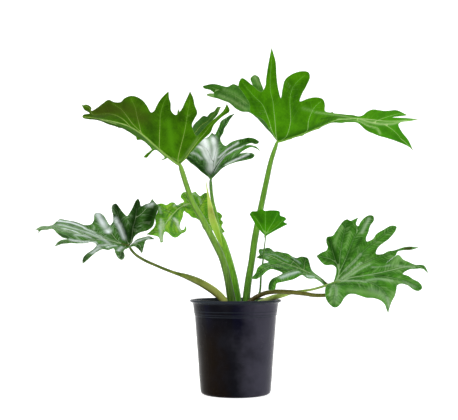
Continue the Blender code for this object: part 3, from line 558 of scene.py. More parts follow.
# The edge of each leaf, from the stalk round to it again. A run goes from one sharp tip round the gap to
# the next, and starts where the run before it ends.
EDGES = {
    "top_right": (
        ((263, 120.4, -30), (250.4, 112.8, -50), (249.2, 104, -65), (242.4, 92.6, -80), (238.4, 85.5, -90),
         (241.8, 78.2, -98), (252.4, 85.3, -92), (261.7, 92, -80), (265.4, 85.8, -84), (265.9, 79, -90),
         (267.7, 66.4, -100), (271.6, 47.5, -112)),
        ((275.8, 62, -104), (276.8, 78, -92), (278.7, 90, -80), (281, 98, -72), (282.8, 88.4, -78),
         (285, 80.2, -85), (291.2, 75, -88), (301.5, 71.3, -90), (308.6, 72.2, -90), (310.2, 77.5, -86),
         (306, 87, -78), (301.8, 95, -68), (300.2, 101.6, -60), (307.4, 99, -62), (316.2, 97.6, -62),
         (322.4, 99, -60), (325.2, 104.8, -52), (325.2, 111, -42), (331, 112.9, -30), (337, 113.9, -18),
         (345, 114.8, -8), (352, 115.2, 0), (359, 116.2, 6), (363, 115, 8), (367.5, 111.8, 6),
         (373.4, 110, 2), (385, 111.6, 4), (396.8, 110.2, 4), (407.8, 115.3, 10)),
        ((400, 116.4, 16), (392.5, 117.4, 20), (400, 117.7, 22), (408, 118.1, 25), (418.8, 119.2, 30)),
        ((410, 121, 34), (401, 122.3, 40), (398.4, 124, 44), (400.2, 129, 52), (403.5, 134, 58),
         (408, 139.5, 64), (413.4, 151.3, 70)),
        ((408.6, 146.6, 70), (395.4, 141.2, 70), (380.7, 136.7, 66), (366, 130.8, 56), (357.5, 123.4, 46),
         (348, 123, 50), (339.4, 122.8, 56), (335, 116, 75), (332.5, 111.3, 95)),
        ((326, 114.5, 105), (321, 115.5, 105), (317, 110, 130), (311, 101, 185)),
        ((304, 106, 165), (299, 112, 140), (295, 100, 165), (296, 83, 215)),
        ((289, 92, 195), (284, 112, 150), (276, 100, 170), (272, 84, 205), (271.5, 73, 225)),
        ((267.5, 86, 195), (265.5, 98, 160), (263.3, 91.3, 165), (260.4, 82.5, 175), (258.4, 76.7, 185),
         (254.5, 75, 188), (250.7, 78.5, 184), (252.4, 86, 160), (249, 96, 135), (243, 88.5, 140),
         (237.8, 85.8, 144), (233.1, 84.4, 146), (228.5, 86.9, 146), (224.5, 87.1, 148), (217.9, 84.9, 152),
         (211.9, 84.1, 156), (202.3, 85.8, 162)),
        ((204, 88.4, 158), (210.6, 90.4, 148), (213.9, 93, 140), (208.5, 93.4, 142), (206.3, 95, 142),
         (213.2, 97.7, 134), (218.5, 99.2, 126), (225.2, 101.7, 116), (229.2, 103.4, 110),
         (235.8, 109.3, 98), (242.4, 112.2, 88), (249, 112.7, 80), (257, 119, 60), (267, 130, 30),
         (277.5, 141.5, 0)),
    ),
    "top_left": (
        ((186.2, 158.2, -56), (195, 148, -72), (203, 139.5, -84), (210.3, 132.5, -94), (214, 125.3, -102),
         (222.4, 116.5, -114), (229.4, 111.2, -122), (227, 103.7, -126)),
        ((223.6, 110.2, -121), (216, 117.4, -108), (208, 124.6, -98), (201, 131.8, -90), (196.4, 136, -84),
         (193.6, 131, -90), (192.3, 125, -98), (194.8, 119, -106), (197.2, 113.3, -114),
         (194.9, 105.1, -124), (193.2, 98, -132), (190.1, 91.3, -140)),
        ((187.1, 97.8, -136), (184.4, 103.6, -130), (181.2, 110, -122), (175.8, 115, -114),
         (171.3, 110.6, -120), (171, 103.6, -128), (168.9, 97.3, -134), (168.8, 91.2, -140)),
        ((164.4, 95, -138), (160.5, 99.7, -134), (156.8, 106, -128), (154.2, 111, -122),
         (151.2, 112.4, -118), (147, 106, -122), (142.6, 100.3, -128), (137.1, 96.9, -134),
         (130.9, 96, -138), (124.7, 98.4, -138), (120.8, 102.2, -134), (114.6, 102.2, -132),
         (108.4, 100, -134), (103.7, 102.8, -130), (96.7, 108, -122), (91.7, 110.7, -116),
         (91.3, 107.4, -114), (88.8, 105, -114), (85.4, 104.5, -114), (83.2, 105, -114),
         (81.3, 103.6, -114)),
        ((82.9, 107.8, -112), (84.8, 110.4, -109), (87.6, 112, -106), (89.6, 113.6, -101), (86.5, 114, -99),
         (83.4, 114.8, -97), (82.2, 116.6, -95)),
        ((83.5, 118, -90), (88.1, 119.2, -84), (94, 120, -74), (101.3, 121.8, -62), (109.1, 125.2, -50),
         (118.5, 128.7, -38)),
        ((122, 128.8, -32), (127, 131.6, -22), (132, 134.4, -10), (135.6, 137, 4), (136.6, 140.8, 18)),
        ((140.6, 140.4, 10), (144.6, 142.2, 8), (147.6, 144.8, 16), (150.5, 147.8, 26), (151.8, 150.3, 36),
         (147.5, 152.6, 46), (143.2, 157, 56)),
        ((146.5, 158, 54), (149.3, 154.8, 48), (153.5, 150.7, 38), (156.5, 150.6, 28), (161, 153.8, 28),
         (164.5, 157.2, 36), (159.5, 161, 50)),
        ((165.8, 159, 38), (169.5, 156, 24), (173, 151.5, 22), (175.2, 142, 48), (176, 130, 84),
         (176.8, 117, 114), (178, 108, 126)),
        ((181.5, 118, 105), (185, 138, 55), (191.5, 131.5, 60), (194.5, 125.3, 62), (199, 120.3, 64),
         (203.7, 116.4, 66), (207, 117.2, 66), (210.5, 113.3, 66), (214.2, 111, 66), (217.6, 106.6, 68),
         (221, 106.8, 68)),
        ((217.4, 114.5, 58), (208, 126, 42), (197, 140, 15), (188, 151, -12), (179.8, 164.3, -40)),
    ),
    "small": (
        ((260.5, 230.5, -84), (255.8, 225.5, -92), (252.6, 219.5, -100), (249.5, 214.3, -108)),
        ((251.8, 211.6, -110), (257, 210.9, -112), (261.8, 209, -113), (264.5, 210.8, -112),
         (270, 210.3, -112), (279.5, 211.5, -108), (280.4, 215.7, -102), (285.3, 217.3, -101),
         (286, 219.6, -98), (283.6, 221.6, -93), (287.6, 224, -86)),
        ((284, 224.3, -66), (280, 219.5, -46), (272, 214.5, -34), (264, 213.5, -32), (257, 214.5, -34),
         (253.5, 217.5, -42)),
        ((256.5, 224, -54), (261, 230, -66), (265.4, 235.1, -75)),
    ),
    "middle": (
        ((216.9, 174.2, 70), (222.4, 168.7, 62), (230.6, 164.3, 52), (238.9, 161.6, 44), (247.1, 160, 36),
         (252.8, 158.4, 30), (254.5, 155, 32), (252, 152.9, 36), (246, 152.7, 46), (240, 153.5, 58),
         (246, 149.8, 54), (250.9, 147.4, 50), (256, 148.7, 42), (261.4, 151.8, 32)),
        ((257, 147, 42), (251, 145.3, 52), (246.5, 145.9, 60), (251, 143.7, 62), (256.5, 144, 62),
         (259.4, 142, 64)),
        ((255.3, 138.8, 68), (248.7, 137.6, 76), (242.1, 138.9, 84), (233.4, 141.6, 94), (226.3, 146, 102),
         (221.5, 142.5, 108), (220.5, 137.5, 114), (223, 133.5, 120), (224.3, 128, 126), (228, 124, 130),
         (230.8, 118.5, 136), (234.6, 113.3, 142)),
        ((229.3, 115.7, 138), (225.3, 118.5, 134), (221.6, 121.3, 130), (219, 127, 124), (216.6, 132, 118),
         (214.9, 134.4, 115), (211.8, 132.5, 116)),
        ((208, 137, 112), (201.5, 140.5, 106), (194, 146, 92), (187.5, 151, 72), (182, 155.8, 50)),
        ((186.7, 159.8, 50), (192, 164.3, 53), (198, 169.4, 58), (204.3, 174.9, 66), (210.6, 179.7, 80)),
    ),
    "low_left": (
        ((132.5, 241.5, 5), (134, 237, 18), (138.5, 233.2, 30), (147.9, 230.6, 48), (153.2, 226.2, 60),
         (155.3, 218, 68), (157.5, 211, 74), (158.8, 206, 78), (156, 203.6, 82), (152, 198.5, 86)),
        ((149.5, 202.8, 86), (146, 203.8, 88), (141.2, 206, 90), (140, 202, 94), (138.3, 198.7, 97),
         (136, 200.4, 98), (133.6, 205.6, 95), (131, 211, 90), (127, 216.6, 84), (123.2, 213, 90),
         (119.8, 207.6, 97), (116, 203.5, 102), (112.8, 206, 102), (112.4, 210.5, 98), (113.5, 216, 90),
         (113.7, 220.3, 84), (111.2, 225.2, 74), (108.9, 224, 77), (106.6, 220.5, 82), (104, 215.8, 88),
         (100.5, 213.3, 92), (95.5, 213.5, 92), (93.8, 216, 90), (93.6, 221, 80), (91, 224.6, 70),
         (85.4, 225.5, 64), (75.5, 221.9, 62), (66, 220.2, 60), (60.4, 219.5, 56), (56.5, 221.9, 46),
         (52.3, 225.3, 25), (46, 227, -10), (40, 227.6, -40), (34.4, 229.3, -62)),
        ((38.3, 230.6, -62), (37, 235.5, -66)),
        ((40.5, 230.6, -62), (47, 229.9, -60), (52.8, 230, -64), (57.7, 234.5, -76), (62.3, 238, -82),
         (67, 239.4, -80), (61.5, 240.2, -90), (57.5, 242.3, -102), (54, 247.1, -112)),
        ((61.3, 244.3, -102), (68.4, 243.4, -92), (85.4, 243.3, -74), (92, 242.5, -64), (96.3, 244.5, -58),
         (94.3, 247.8, -72), (87.3, 253.1, -98), (82.6, 259.2, -124), (82.7, 264.4, -134)),
        ((86.7, 260.5, -126), (92.5, 255.8, -108), (97, 252, -92), (101.4, 249.8, -78), (107.7, 250.5, -68),
         (113.6, 249.2, -56), (115.2, 253.2, -68), (118, 257.8, -84), (121.7, 260, -92),
         (124.4, 257.5, -86), (123.8, 251, -56), (127.4, 248.6, -28), (133.6, 247, -32),
         (138.9, 249.9, -48), (142.1, 253.5, -62)),
        ((144.3, 246, -44), (147, 240.1, -24), (150.8, 239.3, -15), (155.5, 239.3, -5)),
        ((150.5, 236.5, 0), (144.3, 237.4, -2), (137.1, 239.7, -5), (132.6, 243.4, -8), (129.3, 246, -10)),
    ),
    "young": (
        ((208, 227.5, 62), (214, 231.8, 66), (219.5, 233.2, 69), (224.6, 231.6, 70), (221.6, 226.3, 70),
         (223.3, 222.3, 70), (220.9, 219.3, 70), (222.2, 216.2, 70), (219.8, 213, 70), (215, 210.5, 71),
         (211, 205, 73), (209.7, 198, 75), (206.6, 192.8, 76), (203.1, 193.9, 76), (200.3, 195.9, 76),
         (197.8, 194.6, 76), (195.4, 192.1, 76), (190.5, 193.4, 73), (186.5, 192, 68), (183.4, 192.2, 64),
         (180.6, 196, 60), (182, 199.8, 54), (183.6, 202.2, 48), (180.8, 203.3, 46), (176.7, 205, 42),
         (174.2, 202.7, 42), (171, 202.3, 40), (166.4, 205, 38), (161.8, 203.7, 36), (157, 204.8, 34),
         (158, 209, 32), (157.2, 213, 30), (154.9, 217, 28), (155.6, 223.3, 25), (154.3, 227.3, 22),
         (146.3, 234.4, 18)),
        ((152.6, 235, 16), (158.6, 237.3, 14), (160.4, 242.6, 12)),
        ((162.6, 242, 12), (163, 237.5, 14), (164.6, 231.8, 17), (167.5, 232.4, 16), (171.6, 236.1, 14),
         (175.4, 237.9, 14), (178.6, 236.5, 15), (181.6, 233.6, 17), (185.3, 231.9, 18), (186.6, 229.3, 19),
         (185.6, 225.7, 20)),
        ((183.9, 229.6, 19), (181.5, 229.7, 20), (179.6, 226.3, 22), (180.4, 222.4, 26), (182.6, 217.7, 32),
         (183.8, 211.3, 40), (187.6, 213.7, 48), (191.6, 216.6, 52), (197, 219.5, 56), (203, 222, 58)),
    ),
    "low_right": (
        ((334.6, 278, -32), (336, 272, -22), (335.7, 267.8, -16), (332.4, 265.3, -10), (325.8, 265.6, -8),
         (321.7, 263, -5), (316.4, 256, 2)),
        ((321.5, 252.4, 8), (326.3, 250.8, 12), (327.6, 247, 18), (326, 242.8, 22), (327, 237.5, 28),
         (332.5, 235.9, 34), (335, 232.5, 40), (338.8, 226.7, 48), (344.2, 220.4, 56), (347.4, 219.5, 60),
         (350.5, 220.7, 62), (354.4, 218.9, 66), (358.5, 216.9, 70)),
        ((356.8, 221, 66), (356.1, 224.3, 62), (358.2, 226, 60), (360.6, 222, 64), (364.5, 218, 70),
         (369.1, 215.3, 75), (373, 216, 78), (373.6, 220.5, 74), (370, 226, 66), (368.4, 232.9, 56),
         (366, 238.7, 46), (367, 242, 40), (372.3, 239.2, 44), (376.1, 234.5, 52), (383.2, 229.7, 60),
         (390.9, 225.8, 68), (396.4, 226.4, 70), (395.3, 231, 64), (388.6, 239.3, 50), (384.7, 242.4, 44),
         (378.2, 247.5, 34), (376.2, 254, 22), (382.4, 254, 24), (387.8, 251.3, 28), (394.5, 250.1, 33),
         (403.4, 247.4, 40), (411, 246.4, 46), (418.9, 247.6, 50)),
        ((411, 249.8, 45), (403.4, 250.3, 39), (397.6, 251.6, 33), (396, 255.3, 25), (390.5, 260, 14),
         (386, 264.3, 6), (391.5, 259.8, 8), (398.5, 255, 10), (403.4, 259.9, 5), (408, 262.1, 1),
         (415.1, 264.6, -6), (423.8, 265.2, -15), (428.4, 272.9, -24)),
        ((424.4, 269.2, -25), (418.9, 269, -20), (409.6, 269.7, -12), (402.8, 274.2, -14),
         (408.8, 276.5, -18), (413.5, 279.4, -24), (418.9, 282.6, -32), (422, 287.6, -42),
         (418.4, 291.1, -46), (413.5, 290.2, -44), (407.3, 286, -38), (401.8, 284.1, -36),
         (397.1, 286, -40), (396, 290.5, -48), (394.6, 296, -58), (391, 303, -70), (389.3, 308, -78),
         (388.3, 313.4, -86)),
        ((386.6, 308.5, -84), (384.5, 304.3, -82), (380, 300.8, -82), (373.8, 298.9, -84),
         (366.8, 298.3, -88), (359.8, 296, -90), (353.6, 294.2, -90), (348.9, 294.6, -92),
         (345, 297.7, -96), (341.1, 303.7, -104), (338, 306.8, -108), (334.1, 307.7, -108),
         (329.4, 304.6, -104), (326.2, 299, -94), (325.1, 292, -80), (325.7, 287.4, -68),
         (329.5, 284.4, -54), (333.2, 283, -40)),
    ),
    "turned_back": (
        ((325.3, 281.8, -4), (319, 276.3, 4), (312, 271.3, 12), (309.9, 266.5, 18), (309.4, 262.5, 22),
         (307.8, 258.2, 28), (305, 256.9, 30), (300.3, 257.1, 30), (297.1, 257.9, 29), (292.1, 256.5, 31),
         (287.8, 254, 34), (281.5, 252.7, 36), (277.1, 251.2, 38), (274, 251.3, 38), (271.2, 249, 40),
         (267.8, 247.6, 40), (263.4, 248.7, 38), (259.4, 249.6, 36), (258.6, 252, 32), (259.8, 254.4, 29),
         (256.4, 257.5, 24)),
        ((260, 259.1, 18), (263.2, 259.3, 12), (268.3, 262.3, 0), (264.5, 263.3, -22), (260.9, 264.9, -40),
         (257.3, 268.7, -54), (255.5, 273, -64), (250.8, 278.5, -76)),
        ((256.5, 279.1, -72), (261.5, 276, -64), (265.9, 272.3, -54), (270.3, 269.4, -42),
         (275.3, 270.4, -40), (282.6, 272.8, -42), (279, 275.2, -50), (271.8, 279, -64), (269, 283.4, -72),
         (268.3, 289.8, -84)),
        ((272, 290.6, -86), (274.8, 289.6, -84), (276.8, 283.6, -72), (281.5, 282.7, -66),
         (287.8, 281, -58), (294, 279.3, -50), (298.4, 277.2, -44), (302.1, 275.6, -38),
         (306.5, 278.4, -40), (309.6, 279.1, -38), (314.6, 278.7, -34), (319, 281.5, -28),
         (324.2, 285.4, -18), (327, 284.3, -10)),
    ),
}

# Stalks from the crown to the blade: (column, row, depth, radius)
STALKS = {
    "top_right": (
        (245, 313, -15, 9), (245.8, 306, -13, 9.8), (246.2, 299, -11, 9.8), (248.4, 280, -6, 9.2),
        (252, 260, -3, 8.8), (254.4, 241, -1, 8.8), (257, 227, 0, 8.6), (260.8, 208, 2, 8),
        (266.8, 180, 3, 7.2), (271.2, 160, 2, 6.4), (276, 145.5, 0, 4.8),
    ),
    "top_left": (
        (234, 313, -24, 9), (233.5, 306, -22, 11.2), (231.3, 299, -24, 11), (227.6, 279, -29, 9.4),
        (222.5, 259, -33, 8.8), (215, 243, -36, 8.6), (202.8, 220, -40, 8.2), (192.9, 203, -41, 7.2),
        (186.8, 186, -41, 6.8), (181.2, 168.5, -40, 6),
    ),
    "middle": (
        (241, 313, 4, 9), (237.5, 306, 6, 11.8), (236.8, 299, 8, 12), (233.2, 279, 16, 11.6),
        (227.9, 259, 25, 11), (222.8, 243, 33, 11), (219.2, 234.5, 38, 9.8), (217, 224, 46, 5.8),
        (215.2, 212, 57, 5), (213, 203, 68, 4.8), (211.2, 190, 92, 4.6), (210.7, 183, 108, 4.4),
    ),
    "low_left": (
        (231, 314, 13, 7.5), (227.5, 306, 12, 9), (223.4, 300, 12, 9.8), (215, 291.8, 11, 10.4),
        (205, 285.2, 9, 10.2), (197, 280.8, 7, 9.4), (190, 277.8, 5, 8), (185, 276, 4, 6.6),
        (180, 274.4, 3, 5.2), (174, 272.5, 2, 4.2), (165, 269.2, 0, 3.8), (155, 265.1, -2, 3.8),
        (145, 260.3, -5, 3.8), (136, 254.8, -8, 3.6), (131, 249.6, -10, 3.4),
    ),
    "young": (
        (234, 312, 35, 5), (234, 304, 32, 5), (231, 290, 42, 5), (224, 265, 60, 4.6), (216, 245, 80, 4.2),
        (209.5, 234, 98, 4), (203.5, 227, 98, 3.4), (202.5, 223.5, 86, 2.2),
    ),
    "small": (
        (249, 313, 0, 3.2), (250, 307, -4, 3.4), (256, 301, -4, 3.2), (259.9, 291.5, -6, 2.9),
        (260.9, 277, -10, 2.6), (262.8, 262, -16, 2.2), (263.7, 255.3, -23, 2), (264.4, 247.8, -37, 1.8),
        (265.3, 238, -68, 1.6),
    ),
    "low_right": (
        (246.5, 314, 18, 5.2), (251, 307, 14, 5.8), (259.5, 302.4, 9, 6.6), (268, 299.1, 4, 6.8),
        (275, 297, 0, 6.6), (282.5, 295.2, -4, 5.6), (289, 293.6, -8, 4.6), (296, 292, -11, 3.8),
        (303, 290.9, -14, 3.2), (309, 289.9, -18, 3.1), (316, 288.6, -24, 3.1), (323.5, 286.4, -32, 3.2),
        (330.4, 284, -38, 3.2),
    ),
    "turned_back": (
        (243, 313, -37, 5.5), (244.6, 306, -35, 5.8), (250.3, 301, -38, 5.7), (255, 297.6, -40, 5.7),
        (259.5, 295.2, -42, 5.8), (265, 293.1, -42, 5.8), (271.5, 292.1, -42, 5.8), (279, 291.7, -42, 6),
        (287, 291.8, -43, 6), (293, 292.4, -44, 5.8), (299.5, 293.2, -46, 5.7), (306, 294, -48, 5.5),
        (312, 294.9, -50, 5.2), (318, 295.4, -50, 5), (326, 295, -48, 4.8), (334, 292.5, -38, 4.4),
        (334, 287.3, -24, 4), (330, 285, -14, 3.6),
    ),
}

# Sheath of the next leaf, on the middle leaf's stalk: (column, row, depth, radius)
SHEATH = (
    (222.2, 247, 21, 2), (219, 238, 22, 6.5), (215.4, 228, 24, 9), (211.9, 217, 26, 9.4),
    (209.8, 206, 28, 6.4), (208, 195, 32, 2.8), (206.7, 186, 36, 1.4), (205.4, 176, 39, 0.6),
)

# Main veins seen in the photo, from the midrib outwards: (column, row) where they show
VEINS = {
    "top_right": (
        ((277.5, 141), (276.1, 132), (275, 122), (274, 112), (272.8, 101), (270.6, 92), (270, 82),
         (270.6, 72), (271.6, 62), (271.7, 52)),
        ((277, 140), (272.6, 131), (268.8, 120), (265, 109.5), (262, 104), (256, 98), (249, 90.5),
         (243, 83)),
        ((279.5, 140.6), (285.8, 136.6), (288.4, 131), (290.3, 121), (290.2, 109), (290, 98), (292.2, 89),
         (297.5, 81.6), (304.5, 75.6)),
        ((300.5, 133.5), (306.6, 130.6), (308.6, 121.2), (310.6, 114.5), (314.5, 107.5), (320.5, 101.6)),
        ((357, 119.6), (365, 124.6), (374.5, 127.2), (379.2, 129.2), (380.6, 134.2)),
        ((358, 118.6), (366, 120.6), (374, 122.8), (384, 124.2), (395, 123.2), (406, 120.6), (417, 119.2)),
        ((372, 122.4), (386, 117), (398, 113.6), (405, 114.6)),
        ((384, 124.4), (393, 130), (401, 139), (408, 146.5)),
        ((250, 113), (238, 103), (226, 95), (214, 91.4), (205, 87.6)),
    ),
    "top_left": (
        ((179.4, 163.6), (178, 158), (180.6, 148), (183.4, 136), (185.6, 125), (187.6, 113), (189.4, 102),
         (190, 95)),
        ((168, 156), (160.6, 149.4), (159.4, 138), (159.8, 127), (160.4, 115), (163.2, 104.5), (167.4, 95)),
        ((150, 140.8), (142, 132.6), (139.4, 125), (137.2, 116.5), (135, 107), (131, 99)),
        ((142, 132.8), (133.5, 124.4), (127, 116.2), (120.6, 108.6), (113, 103.6)),
        ((131, 126.4), (123.4, 119.2), (115, 114.8), (103.4, 113.8), (93, 114)),
        ((180.4, 163), (183.6, 159.4), (187, 155.2), (191, 150), (199.4, 138.8), (209.4, 127), (219, 116.4),
         (227, 108)),
    ),
    "small": (
        ((265.5, 234.6), (265.4, 227), (265.3, 219), (265.4, 212)),
        ((265.8, 233.6), (269.6, 227.6), (273.6, 221.2), (277.2, 213.6)),
        ((265.2, 233.6), (260.8, 225.6), (256.8, 219.4), (252.6, 214.6)),
        ((266.6, 233.8), (272.6, 229.6), (278.6, 224.6), (284.4, 219)),
    ),
    "middle": (
        ((211, 178), (213, 168), (214.8, 156), (217.8, 144), (221.6, 131), (227, 121), (232.4, 115)),
        ((210.6, 176), (206, 168.6), (198.4, 161.4), (191.6, 156.6), (185.6, 153.6)),
        ((212, 176.4), (218.4, 168.4), (226, 162.6), (235, 158.6), (244.6, 156.4), (252, 155.8)),
        ((214.4, 170), (221, 160.6), (229.4, 152), (239, 146), (249, 141), (257, 141.4)),
        ((213.6, 163), (209, 153.4), (203.6, 146.6), (198, 144)),
    ),
    "low_left": (
        ((124, 244.4), (117, 240.4), (110.6, 232.6), (104.6, 223.6), (99.6, 215.4)),
        ((128.2, 243.6), (124.4, 234), (120.8, 223), (117.6, 213), (115.6, 205.6)),
        ((130, 243.4), (132.4, 233), (134.8, 221), (136.6, 210), (138, 201)),
        ((130.6, 243), (136.4, 231.6), (143.4, 219.6), (150.6, 209.6), (152, 201.6)),
        ((119, 243), (108, 243.6), (98.6, 247.6), (89.6, 253.4), (84.2, 261)),
        ((125.6, 245.2), (121.6, 249.4), (120.8, 257)),
        ((100, 239), (86.4, 240.6), (72, 241.2), (58.6, 243.6)),
        ((106, 240), (97, 233), (88.6, 228.4), (78.6, 224.8), (66, 221.6)),
        ((131, 244.6), (138.4, 241.8), (147, 238.6), (153.4, 238.2)),
        ((133, 244), (139.6, 245.4), (142, 251)),
    ),
    "turned_back": (
        ((309, 273.4), (299, 267), (291.4, 260.6), (282.4, 255.4), (272.4, 251.6), (263.4, 250.4)),
        ((303.6, 270.6), (304.4, 264.4), (306, 259)),
        ((297, 268.6), (287.4, 272.4), (279.4, 275.6), (272.6, 281.2), (270, 288.6)),
        ((284.6, 263.6), (273.4, 265.2), (262.4, 270.2), (254, 277.6)),
        ((290, 265), (294, 261), (296.4, 258.6)),
    ),
    "low_right": (
        ((337.5, 281.4), (338.6, 271), (340, 259), (341.4, 247), (343.6, 234), (346, 222)),
        ((334, 281.6), (340.4, 270.6), (346.4, 257.6), (351.4, 244.6), (356, 234), (361.4, 226.6),
         (368, 219), (372, 216.8)),
        ((335, 281.6), (344.4, 270.4), (355, 259.4), (365, 250), (376.4, 240.6), (386.6, 232.4),
         (394.6, 228)),
        ((336.4, 281.8), (350, 271.4), (362.4, 264), (374.4, 258.6), (387, 254.4), (399, 250.4),
         (411, 248)),
        ((341, 281.6), (354, 280.6), (366, 281.8), (376, 285.6), (384, 292), (387.4, 301), (388.2, 310)),
        ((366, 275.6), (381, 276.4), (395, 278.6), (408, 282.6), (419, 288)),
        ((334.4, 284.4), (335.4, 292), (334, 300), (333.6, 305.6)),
        ((338.6, 271), (336.2, 263.4), (330.6, 259.4), (324.6, 257.4), (318.4, 256.2)),
        ((338.8, 268), (335.4, 260), (332.2, 250), (330.8, 240)),
    ),
}
